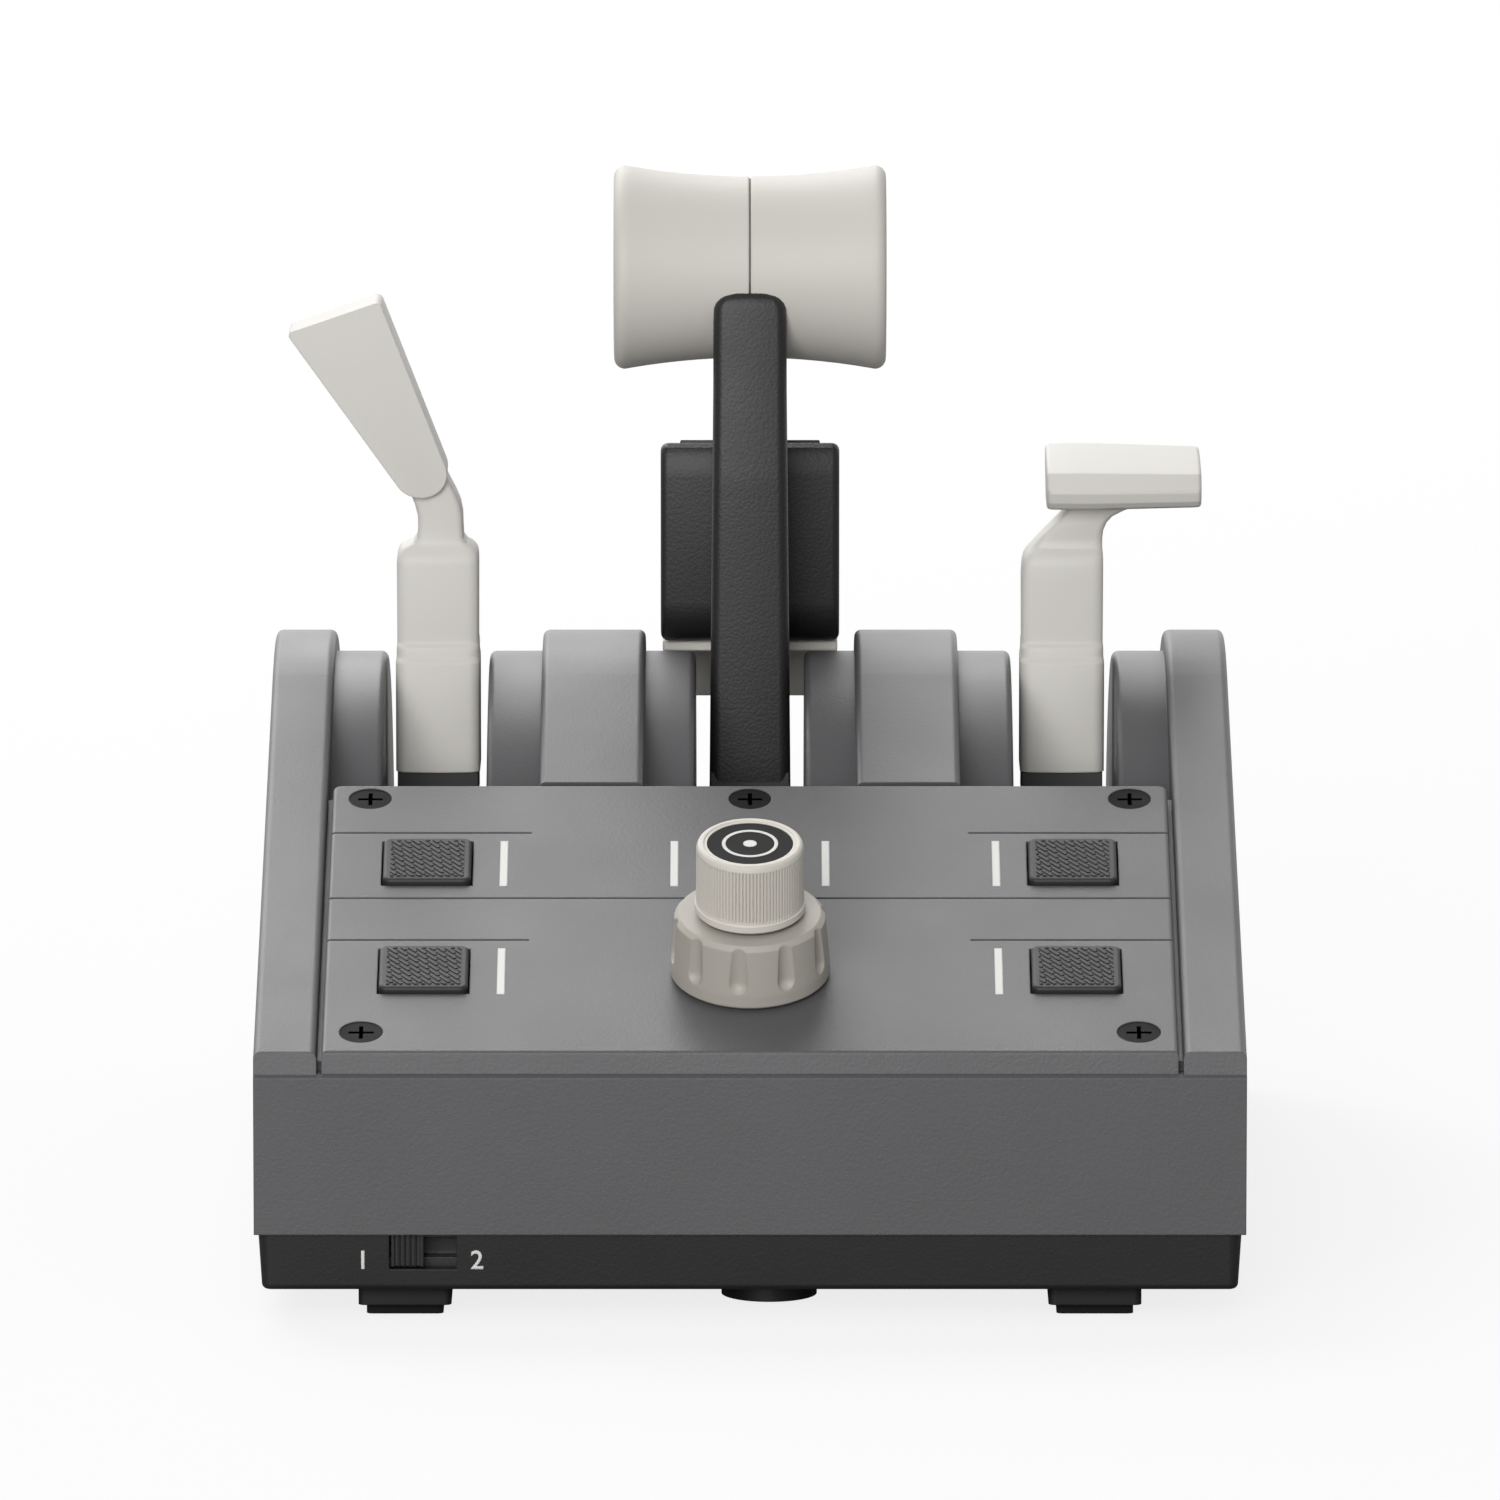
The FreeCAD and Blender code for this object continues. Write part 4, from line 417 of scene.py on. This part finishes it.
# matt lacquer: a flat black under the white ring and dot
cap_lacquer = moulded("black_cap_lacquer", "#0c0c0d", 0.85, 0.4, 0.004)
dress(cap_lacquer, "knob_cap")
CAP_TOP, INK_LIFT, INK_THICK = 24.7, 0.005, 0.05
RING_MARK_RADIUS, RING_MARK_WIDTH, DOT_RADIUS = 4.7, 0.62, 1.15
bpy.ops.mesh.primitive_circle_add(vertices=64, radius=RING_MARK_RADIUS * MM, fill_type="NGON")
mark = bpy.context.object
bpy.ops.object.mode_set(mode="EDIT")
bpy.ops.mesh.select_all(action="SELECT")
bpy.ops.mesh.inset(thickness=RING_MARK_WIDTH * MM)
bpy.ops.mesh.delete(type="FACE")
bpy.ops.object.mode_set(mode="OBJECT")
bpy.ops.mesh.primitive_circle_add(vertices=32, radius=DOT_RADIUS * MM, fill_type="NGON")
select_only(mark, bpy.context.object)
bpy.ops.object.join()
ink = mark.modifiers.new("ink", "SOLIDIFY")
ink.thickness = INK_THICK * MM
ink.offset = 1
bpy.ops.object.modifier_apply(modifier=ink.name)
mark.rotation_euler = (SLOPE, 0, 0)
mark.location = on_slope(0, KNOB_ROW, CAP_TOP + INK_LIFT)
finish_mesh(mark, "cap_ring_mark", white_ink, "select_push")


# ---------------------------------------------------------------- side levers
# The speed-brake lever on the left and the flap lever on the right, moulded in off-white ABS. Each has
# a square stem with soft corners, a double-bevelled collar and a faint crease down its middle.

# satin ABS: warm off-white beside the grey, with broad soft highlights on its edges
lever_abs = moulded("off_white_abs_lever", "#dcd9d3", 0.52, 0.4, 0.005, mottle=0.012, edge=0.4)
LEVER_X = 54.2
# an edge of the foot that runs further across than this is its front or its back
BROAD_EDGE = 6.0
# each station: height over the ground, then left, right, front and rear from the lever's middle
STEM_BELOW = ((68.5, -7.3, 7.3, -7.9, 7.9), (87.3, -7.3, 7.3, -7.9, 7.9), (87.65, -7.28, 7.28, -7.82, 7.82),
              (88.0, -7.24, 7.24, -7.55, 7.55), (88.35, -7.18, 7.18, -7.15, 7.15),
              (88.6, -7.15, 7.15, -6.98, 6.98), (89.9, -7.15, 7.15, -6.95, 6.95),
              (90.2, -7.13, 7.13, -6.85, 6.85), (90.5, -7.1, 7.1, -6.6, 6.6), (90.8, -7.06, 7.06, -6.2, 6.2),
              (91.1, -7.05, 7.05, -6.05, 6.05))
SPEEDBRAKE_NECK = ((104.7, -7.1, 7.1, -6.05, 6.05), (105.6, -7.05, 7.05, -5.9, 5.9),
                   (106.5, -6.8, 6.9, -5.5, 5.5), (107.2, -6.3, 6.5, -5.0, 5.0),
                   (107.7, -5.3, 6.0, -4.7, 4.7), (108.2, -4.2, 5.1, -4.5, 4.5),
                   (109.0, -3.6, 4.5, -4.4, 4.4), (111.0, -3.4, 4.4, -4.4, 4.4),
                   (113.0, -3.45, 4.35, -4.4, 4.4), (115.0, -3.95, 3.95, -4.4, 4.4),
                   (117.0, -4.8, 3.1, -4.4, 4.4), (119.5, -6.3, 1.8, -4.4, 4.4),
                   (121.5, -7.4, 1.0, -4.4, 4.4))
FLAP_NECK = ((101.9, -7.1, 7.1, -6.05, 6.05), (104.2, -6.95, 7.1, -6.0, 6.0),
             (105.4, -6.65, 7.1, -5.85, 5.85), (106.3, -6.2, 7.05, -5.4, 5.4),
             (106.9, -5.75, 7.0, -4.8, 4.8), (107.3, -5.4, 6.95, -4.4, 4.4),
             (108.0, -4.8, 6.95, -4.2, 4.2), (109.0, -3.9, 6.95, -4.2, 4.2),
             (110.4, -2.5, 7.1, -4.6, 4.6), (111.8, -1.1, 7.7, -4.6, 4.6),
             (112.9, 0.0, 8.7, -4.8, 4.8), (113.8, 0.7, 10.4, -5.0, 5.0),
             (114.7, 1.0, 12.6, -5.2, 5.2), (115.2, 1.0, 13.8, -5.2, 5.2))


def stem(name, across, stations, material, body, corner=2.1, crease=0.45):
    """A rounded square bar drawn up from its foot through its stations, with a creased front and back."""
    low, left, right, near, far = stations[0]
    bpy.ops.mesh.primitive_plane_add(size=2, location=(0, (near + far) / 2 * MM, low * MM))
    made = bpy.context.object
    made.scale = ((right - left) / 2 * MM, (far - near) / 2 * MM, 1)
    bpy.ops.object.transform_apply(location=True, scale=True)
    bpy.ops.object.mode_set(mode="EDIT")
    bpy.ops.mesh.select_all(action="SELECT")
    bpy.ops.mesh.bevel(offset=corner * MM, offset_type="OFFSET", segments=6, affect="VERTICES")
    bpy.ops.mesh.select_mode(type="EDGE")
    bpy.ops.mesh.select_all(action="DESELECT")
    bpy.ops.object.mode_set(mode="OBJECT")
    for edge in made.data.edges:
        ends = [made.data.vertices[index].co for index in edge.vertices]
        edge.select = abs(ends[0].x - ends[1].x) > BROAD_EDGE * MM
    bpy.ops.object.mode_set(mode="EDIT")
    bpy.ops.mesh.subdivide(number_cuts=1)
    bpy.ops.mesh.select_mode(type="VERT")
    bpy.ops.mesh.select_all(action="DESELECT")
    bpy.ops.object.mode_set(mode="OBJECT")
    for vertex in made.data.vertices:
        vertex.select = abs(vertex.co.x) < 0.1 * MM
    bpy.ops.object.mode_set(mode="EDIT")
    bpy.ops.transform.resize(value=(1, 1 + crease * 2 / (far - near), 1),
                             center_override=(0, (near + far) / 2 * MM, low * MM))
    bpy.ops.mesh.select_all(action="SELECT")
    for before, after in zip(stations, stations[1:]):
        low, left, right, near, far = before
        high, new_left, new_right, new_near, new_far = after
        middle = ((new_left + new_right) / 2, (new_near + new_far) / 2)
        shift = (middle[0] - (left + right) / 2, middle[1] - (near + far) / 2, high - low)
        bpy.ops.mesh.extrude_region_move(TRANSFORM_OT_translate={"value": Vector(shift) * MM})
        bpy.ops.transform.resize(
            value=((new_right - new_left) / (right - left), (new_far - new_near) / (far - near), 1),
            center_override=Vector((*middle, high)) * MM)
    bpy.ops.mesh.select_all(action="SELECT")
    bpy.ops.mesh.normals_make_consistent(inside=False)
    bpy.ops.object.mode_set(mode="OBJECT")
    bpy.ops.object.shade_smooth_by_angle(angle=math.radians(20))
    made.location = (across * MM, PIVOT_Y * MM, 0)
    return finish_mesh(made, name, material, body)


left_stem = stem("speedbrake_cover", -LEVER_X, STEM_BELOW + SPEEDBRAKE_NECK, lever_abs, "speedbrake_lever")
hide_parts("speedbrake_stem")
right_stem = stem("flap_cover", LEVER_X, STEM_BELOW + FLAP_NECK, lever_abs, "flap_lever")
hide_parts("flap_stem")


def drawn_outline(points, place):
    """A flat face with these corners, made from a round of as many points."""
    bpy.ops.mesh.primitive_circle_add(vertices=len(points), radius=1, fill_type="NGON")
    made = bpy.context.object
    for vertex, point in zip(made.data.vertices, points):
        vertex.co = place(*point)
    return made


# speed-brake paddle: a flat blade, wide and bevelled at its top, round at its foot
PADDLE_HALF = 6.0
PADDLE_CORNERS = ((-80.3, 145.2), (-58.8, 115.2), (-51.4, 118.3), (-64.1, 150.8))
PADDLE_MIDDLE = 130.0
FOOT_ROUND, TOP_ROUND, TOP_BEVEL = 3.85, 1.1, 1.7
# only the long sides and the top have edges longer than this
LONG_EDGE = 12.0
paddle = drawn_outline(PADDLE_CORNERS,
                       lambda across, up: Vector((across, PIVOT_Y - PADDLE_HALF, up)) * MM)
bpy.ops.object.mode_set(mode="EDIT")
bpy.ops.mesh.select_all(action="DESELECT")
bpy.ops.object.mode_set(mode="OBJECT")
for vertex in paddle.data.vertices:
    vertex.select = vertex.co.z < PADDLE_MIDDLE * MM
bpy.ops.object.mode_set(mode="EDIT")
bpy.ops.mesh.bevel(offset=FOOT_ROUND * MM, segments=10, affect="VERTICES", profile=0.5)
bpy.ops.mesh.select_all(action="DESELECT")
bpy.ops.object.mode_set(mode="OBJECT")
for vertex in paddle.data.vertices:
    vertex.select = vertex.co.z > PADDLE_MIDDLE * MM
bpy.ops.object.mode_set(mode="EDIT")
bpy.ops.mesh.bevel(offset=TOP_ROUND * MM, segments=4, affect="VERTICES", profile=0.5)
bpy.ops.mesh.select_all(action="SELECT")
bpy.ops.mesh.extrude_region_move(TRANSFORM_OT_translate={"value": (0, PADDLE_HALF * 2 * MM, 0)})
bpy.ops.mesh.select_all(action="SELECT")
bpy.ops.mesh.normals_make_consistent(inside=False)
bpy.ops.mesh.select_mode(type="EDGE")
bpy.ops.mesh.select_all(action="DESELECT")
bpy.ops.object.mode_set(mode="OBJECT")
(left, left_up), (right, right_up) = PADDLE_CORNERS[0], PADDLE_CORNERS[-1]
along_top = Vector((right - left, 0, right_up - left_up)).normalized()
for edge in paddle.data.edges:
    first, last = [paddle.data.vertices[index].co for index in edge.vertices]
    run = last - first
    flat = abs(run.y) < 0.01 * MM
    edge.select = flat and run.length > LONG_EDGE * MM and abs(run.normalized().dot(along_top)) > 0.99
bpy.ops.object.mode_set(mode="EDIT")
bpy.ops.mesh.bevel(offset=TOP_BEVEL * MM, segments=6, affect="EDGES", profile=0.5)
bpy.ops.object.mode_set(mode="OBJECT")
soften(paddle, 0.7, 4, above=50)
bpy.ops.object.shade_smooth_by_angle(angle=math.radians(30))
finish_mesh(paddle, "speedbrake_paddle", lever_abs, "speedbrake_lever")
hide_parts("speedbrake_handle")

# flap handle: a short wing section, flat on top, faceted in front and tapered behind
FLAP_SECTION = ((33.0, 114.7), (31.3, 115.2), (30.3, 116.2), (29.75, 117.9), (29.8, 118.5), (31.75, 120.7),
                (32.3, 121.15), (34.6, 121.7), (42.0, 122.8), (51.0, 123.4), (53.4, 123.2), (54.2, 122.3),
                (53.8, 121.2), (47.0, 116.2), (44.0, 114.9))
FLAP_LEFT, FLAP_CREASE, FLAP_RIGHT = 51.4, 58.7, 78.2
# each end rounds off in three steps outwards, and the section shrinks at each
WING_ENDS = ((0.75, 0.985), (0.35, 0.965), (0.15, 0.93))
WING_START, WING_STOP = FLAP_LEFT + 1.25, FLAP_RIGHT - 1.25
WING_CENTRE = Vector((0, 43.0, 118.6)) * MM
wing = drawn_outline(FLAP_SECTION, lambda along, up: Vector((WING_START, along, up)) * MM)
bpy.ops.object.mode_set(mode="EDIT")
bpy.ops.mesh.select_all(action="SELECT")
for length, deep, tall in ((FLAP_CREASE - WING_START, 1.012, 1.015), (WING_STOP - FLAP_CREASE, 0.95, 0.9)):
    bpy.ops.mesh.extrude_region_move(TRANSFORM_OT_translate={"value": (length * MM, 0, 0)})
    bpy.ops.transform.resize(value=(1, deep, tall), center_override=WING_CENTRE)
for step, shrink in WING_ENDS:
    bpy.ops.mesh.extrude_region_move(TRANSFORM_OT_translate={"value": (step * MM, 0, 0)})
    bpy.ops.transform.resize(value=(1, shrink, shrink), center_override=WING_CENTRE)
bpy.ops.mesh.select_all(action="DESELECT")
bpy.ops.object.mode_set(mode="OBJECT")
for face in wing.data.polygons:
    corners = [wing.data.vertices[index].co for index in face.vertices]
    face.select = all(abs(corner.x - WING_START * MM) < 0.01 * MM for corner in corners)
bpy.ops.object.mode_set(mode="EDIT")
bpy.ops.mesh.select_mode(type="FACE")
for step, shrink in WING_ENDS:
    bpy.ops.mesh.extrude_region_move(TRANSFORM_OT_translate={"value": (-step * MM, 0, 0)})
    bpy.ops.transform.resize(value=(1, shrink, shrink), center_override=WING_CENTRE)
bpy.ops.mesh.select_all(action="SELECT")
bpy.ops.mesh.normals_make_consistent(inside=False)
bpy.ops.object.mode_set(mode="OBJECT")
bpy.ops.object.shade_smooth_by_angle(angle=math.radians(16))
finish_mesh(wing, "flap_wing", lever_abs, "flap_lever")
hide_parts("flap_handle")

# ABS of the hubs, yokes and channel floors of all three levers: near-black and almost without shine
hub_abs = moulded("black_abs_hub", "#070707", 0.6, 0.5, 0.02)
dress(hub_abs, "speedbrake_hub", "thrust_hub", "flap_hub", "speedbrake_yoke", "thrust_yoke", "flap_yoke",
      "speedbrake_channel_floor", "thrust_channel_floor", "flap_channel_floor", "board_standoffs")


# ---------------------------------------------------------------- thrust lever
# The tall black bar with a moulded leather grain, its white two-part grip with a push-button in each
# end, and the reverse-thrust handle behind it.

PEBBLE, PEBBLE_DEPTH, PEBBLE_DRIFT = 0.55, 0.03, 0.4


def leather_grain(name, colour, roughness):
    """Black plastic from a mould etched with a leather pattern of pebbles about half a millimetre wide."""
    material, tree = new_finish(name)
    where = add_node(tree, "ShaderNodeTexCoord").outputs["Object"]
    drift = add_node(tree, "ShaderNodeTexNoise", Vector=where, Scale=1 / (3 * MM), Detail=2.0)
    shift = add_node(tree, "ShaderNodeMix", {"data_type": "VECTOR"}, _0=PEBBLE_DRIFT * MM, _4=where,
                     _5=drift.outputs["Color"])
    pebbles = add_node(tree, "ShaderNodeTexVoronoi", {"feature": "SMOOTH_F1"}, Vector=shift.outputs[1],
                       Scale=1 / (PEBBLE * MM), Smoothness=0.7)
    cloud = add_node(tree, "ShaderNodeTexNoise", Vector=where, Scale=1 / (15 * MM), Detail=3.0)
    base = linear(colour)
    low = tuple(part * 0.88 for part in base[:3]) + (1.0,)
    tone = add_node(tree, "ShaderNodeMix", {"data_type": "RGBA"}, _0=cloud.outputs["Fac"], _6=low, _7=base)
    gloss = add_node(tree, "ShaderNodeMapRange", Value=cloud.outputs["Fac"], _3=roughness - 0.06,
                     _4=roughness + 0.06)
    relief = add_node(tree, "ShaderNodeBump", {"invert": True}, Strength=1.0, Distance=PEBBLE_DEPTH * MM,
                      Height=pebbles.outputs["Distance"])
    shader = add_node(tree, "ShaderNodeBsdfPrincipled", Base_Color=tone.outputs[2],
                      Roughness=gloss.outputs[0], Normal=relief.outputs[0], IOR=1.53)
    add_node(tree, "ShaderNodeOutputMaterial", Surface=shader.outputs[0])
    return material


# leather-etched ABS: black, with a sheen that the pebbles break up
bar_abs = leather_grain("black_abs_leather_grain", "#212122", 0.48)
# stations as for the side levers, leaning back towards the grip and closing over its top
BAR = ((65.5, -7.05, 7.05, -8.5, 6.5), (118.0, -6.55, 6.55, -8.5, 6.5), (122.0, -6.5, 6.5, -8.1, 7.4),
       (135.0, -6.38, 6.38, -6.6, 10.4), (147.0, -6.35, 6.35, -5.2, 10.4), (149.3, -6.25, 6.25, -4.9, 10.3),
       (150.2, -5.95, 5.95, -4.75, 10.2), (150.9, -5.4, 5.4, -4.55, 10.0), (151.4, -4.7, 4.7, -4.3, 9.7),
       (151.8, -3.4, 3.4, -3.9, 9.0), (152.05, -2.0, 2.0, -3.2, 8.0), (152.2, -0.6, 0.6, -2.0, 6.5))
bar = stem("thrust_bar_cover", 0, BAR, bar_abs, "thrust_lever", corner=2.0, crease=0.0)
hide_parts("thrust_bar")

# satin ABS: off-white like the side levers, a shade darker
grip_abs = moulded("white_abs_grip", "#d8d4cd", 0.55, 0.4, 0.005, mottle=0.012)
GRIP_Y, GRIP_Z = 53.0, 154.3
GRIP_END, GRIP_SWELL, GRIP_WAIST, GRIP_RIM = 23.65, 17.7, 15.75, 1.9
WAIST_LENGTH = GRIP_END - GRIP_RIM
WAIST_ARC = (WAIST_LENGTH ** 2 + (GRIP_SWELL - GRIP_WAIST) ** 2) / (GRIP_SWELL - GRIP_WAIST) / 2
BUTTON_RADIUS, BUTTON_DEPTH = 5.5, 3.6
BUTTON_BORE, RECESS_DEPTH = 5.65, 4.8
SEAM_HALF, SEAM_BEVEL = 0.12, 0.2
seam = [(SEAM_HALF, 0.0), (SEAM_HALF, GRIP_WAIST - SEAM_BEVEL)]
waist = [(across, GRIP_WAIST + WAIST_ARC - math.sqrt(WAIST_ARC ** 2 - across ** 2))
         for across in (0.35, 3.0, 6.0, 9.0, 12.0, 15.0, 18.0, 20.5, WAIST_LENGTH)]
swell = [(WAIST_LENGTH + GRIP_RIM * math.sin(turn), GRIP_SWELL - GRIP_RIM + GRIP_RIM * math.cos(turn))
         for turn in [math.radians(15 * step) for step in range(1, 7)]]
recess = [(GRIP_END, 8.0), (GRIP_END - 0.1, BUTTON_BORE + 0.3), (GRIP_END - 0.4, BUTTON_BORE),
          (GRIP_END - RECESS_DEPTH, BUTTON_BORE), (GRIP_END - RECESS_DEPTH, 0.0)]
grip_profile = seam + waist + swell + recess
button_profile = [(GRIP_END - BUTTON_DEPTH, BUTTON_RADIUS), (GRIP_END - 0.9, BUTTON_RADIUS),
                  (GRIP_END - 0.55, BUTTON_RADIUS - 0.12), (GRIP_END - 0.35, BUTTON_RADIUS - 0.45),
                  (GRIP_END - 0.3, BUTTON_RADIUS - 0.9), (GRIP_END - 0.3, 0.0)]


def turned(name, side, points, body):
    """A piece turned about the grip's axis from points given as distance along it and radius."""
    bpy.ops.mesh.primitive_circle_add(vertices=len(points), radius=1, fill_type="NOTHING")
    made = bpy.context.object
    for vertex, (across, radius) in zip(made.data.vertices, points):
        vertex.co = Vector((side * across, 0, radius)) * MM
    bpy.ops.object.mode_set(mode="EDIT")
    bpy.ops.mesh.select_mode(type="EDGE")
    bpy.ops.mesh.select_all(action="DESELECT")
    bpy.ops.object.mode_set(mode="OBJECT")
    for edge in made.data.edges:
        edge.select = sorted(edge.vertices) == [0, len(points) - 1]
    bpy.ops.object.mode_set(mode="EDIT")
    bpy.ops.mesh.delete(type="EDGE")
    bpy.ops.mesh.select_all(action="SELECT")
    bpy.ops.mesh.spin(steps=96, angle=math.radians(360), center=(0, 0, 0), axis=(1, 0, 0))
    bpy.ops.mesh.select_all(action="SELECT")
    bpy.ops.mesh.remove_doubles(threshold=0.005 * MM)
    bpy.ops.mesh.normals_make_consistent(inside=False)
    bpy.ops.object.mode_set(mode="OBJECT")
    bpy.ops.object.shade_smooth_by_angle(angle=math.radians(32))
    made.location = (0, GRIP_Y * MM, GRIP_Z * MM)
    return finish_mesh(made, name, grip_abs, body)


for name, side in (("left", -1), ("right", 1)):
    half = turned("grip_half_" + name, side, grip_profile, "thrust_lever")
    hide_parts("grip_" + name)
    button = turned("grip_button_" + name, side, button_profile, "end_push_" + name)
    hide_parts("end_button_" + name)
# the dark core that shows as a thin line between the two halves
CORE_RADIUS, CORE_WIDTH = 15.4, 0.22
bpy.ops.mesh.primitive_cylinder_add(vertices=96, radius=CORE_RADIUS * MM, depth=CORE_WIDTH * MM,
                                    location=(0, GRIP_Y * MM, GRIP_Z * MM), rotation=(0, math.pi / 2, 0))
core = bpy.context.object
soften(core, 0.05, 2)
finish_mesh(core, "grip_core_rib", hub_abs, "thrust_lever")


def slab(name, points, half, rim, material, body):
    """A piece as wide as twice its half, of one side outline, with rounded rims."""
    made = drawn_outline(points, lambda along, up: Vector((-half, along, up)) * MM)
    bpy.ops.object.mode_set(mode="EDIT")
    bpy.ops.mesh.select_all(action="SELECT")
    bpy.ops.mesh.extrude_region_move(TRANSFORM_OT_translate={"value": (half * 2 * MM, 0, 0)})
    bpy.ops.mesh.select_all(action="SELECT")
    bpy.ops.mesh.normals_make_consistent(inside=False)
    bpy.ops.object.mode_set(mode="OBJECT")
    soften(made, rim, 4, above=40)
    bpy.ops.object.shade_smooth_by_angle(angle=math.radians(28))
    return finish_mesh(made, name, material, body)


# side outlines: distance behind the console's middle and height
BLOCK = ((54.0, 95.0), (54.3, 92.4), (55.3, 90.2), (56.8, 88.5), (59.0, 87.5), (61.0, 87.4), (71.0, 89.3),
         (71.0, 115.3), (70.0, 118.3), (66.0, 120.4), (57.5, 122.7), (56.2, 122.8), (55.1, 122.2),
         (54.4, 121.0), (54.0, 117.0))
STRIP = ((57.6, 121.3), (57.6, 123.2), (61.0, 122.4), (61.0, 120.8))
LUG = ((46.0, 111.5), (59.0, 111.5), (61.6, 112.4), (63.2, 114.5), (63.5, 116.0), (63.2, 117.5),
       (61.6, 119.6), (59.0, 120.5), (56.2, 119.2), (54.6, 117.4), (46.0, 117.4))
TAIL = ((61.2, 85.2), (61.2, 87.0), (71.4, 88.9), (71.4, 99.3), (75.0, 99.3), (87.9, 75.0), (84.9, 73.2),
        (83.4, 85.2))
BLOCK_HALF, STRIP_HALF, LUG_HALF, TAIL_HALF = 15.6, 12.2, 4.0, 15.3
block = slab("reverse_block", BLOCK, BLOCK_HALF, 1.3, bar_abs, "reverse_lever")
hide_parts("reverse_handle")
slab("reverse_strip", STRIP, STRIP_HALF, 0.3, bar_abs, "reverse_lever")
slab("reverser_lug", LUG, LUG_HALF, 0.4, bar_abs, "thrust_lever")

# beige ABS, matt; its colour is lifted almost to white as painted light, since the piece sits in the shade
# of the block and fins
tail_abs_painted_light = moulded("beige_abs_tail_painted_light", "#f4efe6", 0.5, 0.5, 0.012)
tail = slab("reverse_tail_cover", TAIL, TAIL_HALF, 0.4, tail_abs_painted_light, "reverse_lever")
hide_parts("reverse_tail")


# ---------------------------------------------------------------- inner parts
# What the housing hides: the steel axle in brass bushes with its rings and nylon washers, the screws,
# the magnets of the three sensors, the ballast plate and the circuit boards.

# bright zinc plate: pale grey with small broken glints
dress(bare_metal("bright_zinc_steel", "#c3c5c8", 0.3, 0.5), "lever_axle", "axle_rings", "housing_screws",
      "pan_screws", "board_screws", "encoder_shaft", "encoder_nut", "reverser_pin", "data_socket")
# bare rolled steel: darker and duller than the plated pieces
dress(bare_metal("rolled_steel_plate", "#8c8f92", 0.45, 0.8), "ballast_plate")
# turned brass: warm yellow with a fresh shine
dress(bare_metal("turned_brass", "#c9a45c", 0.3, 0.4), "mount_insert", "axle_bushes")
# nickel plate: the sharpest reflections inside
dress(bare_metal("nickel_plated_magnet", "#b8b9bb", 0.22, 0.6),
      "speedbrake_magnet", "thrust_magnet", "flap_magnet")
# nylon: a milky, slightly waxy white
dress(moulded("white_nylon_washer", "#dcdad2", 0.5, 0.4, 0.01), "friction_washers")
# solder mask: a glossy dark green
dress(moulded("green_solder_mask", "#1f5a38", 0.35, 0.5, 0.01), "sensor_boards", "main_board", "panel_board")

bpy.context.view_layer.update()
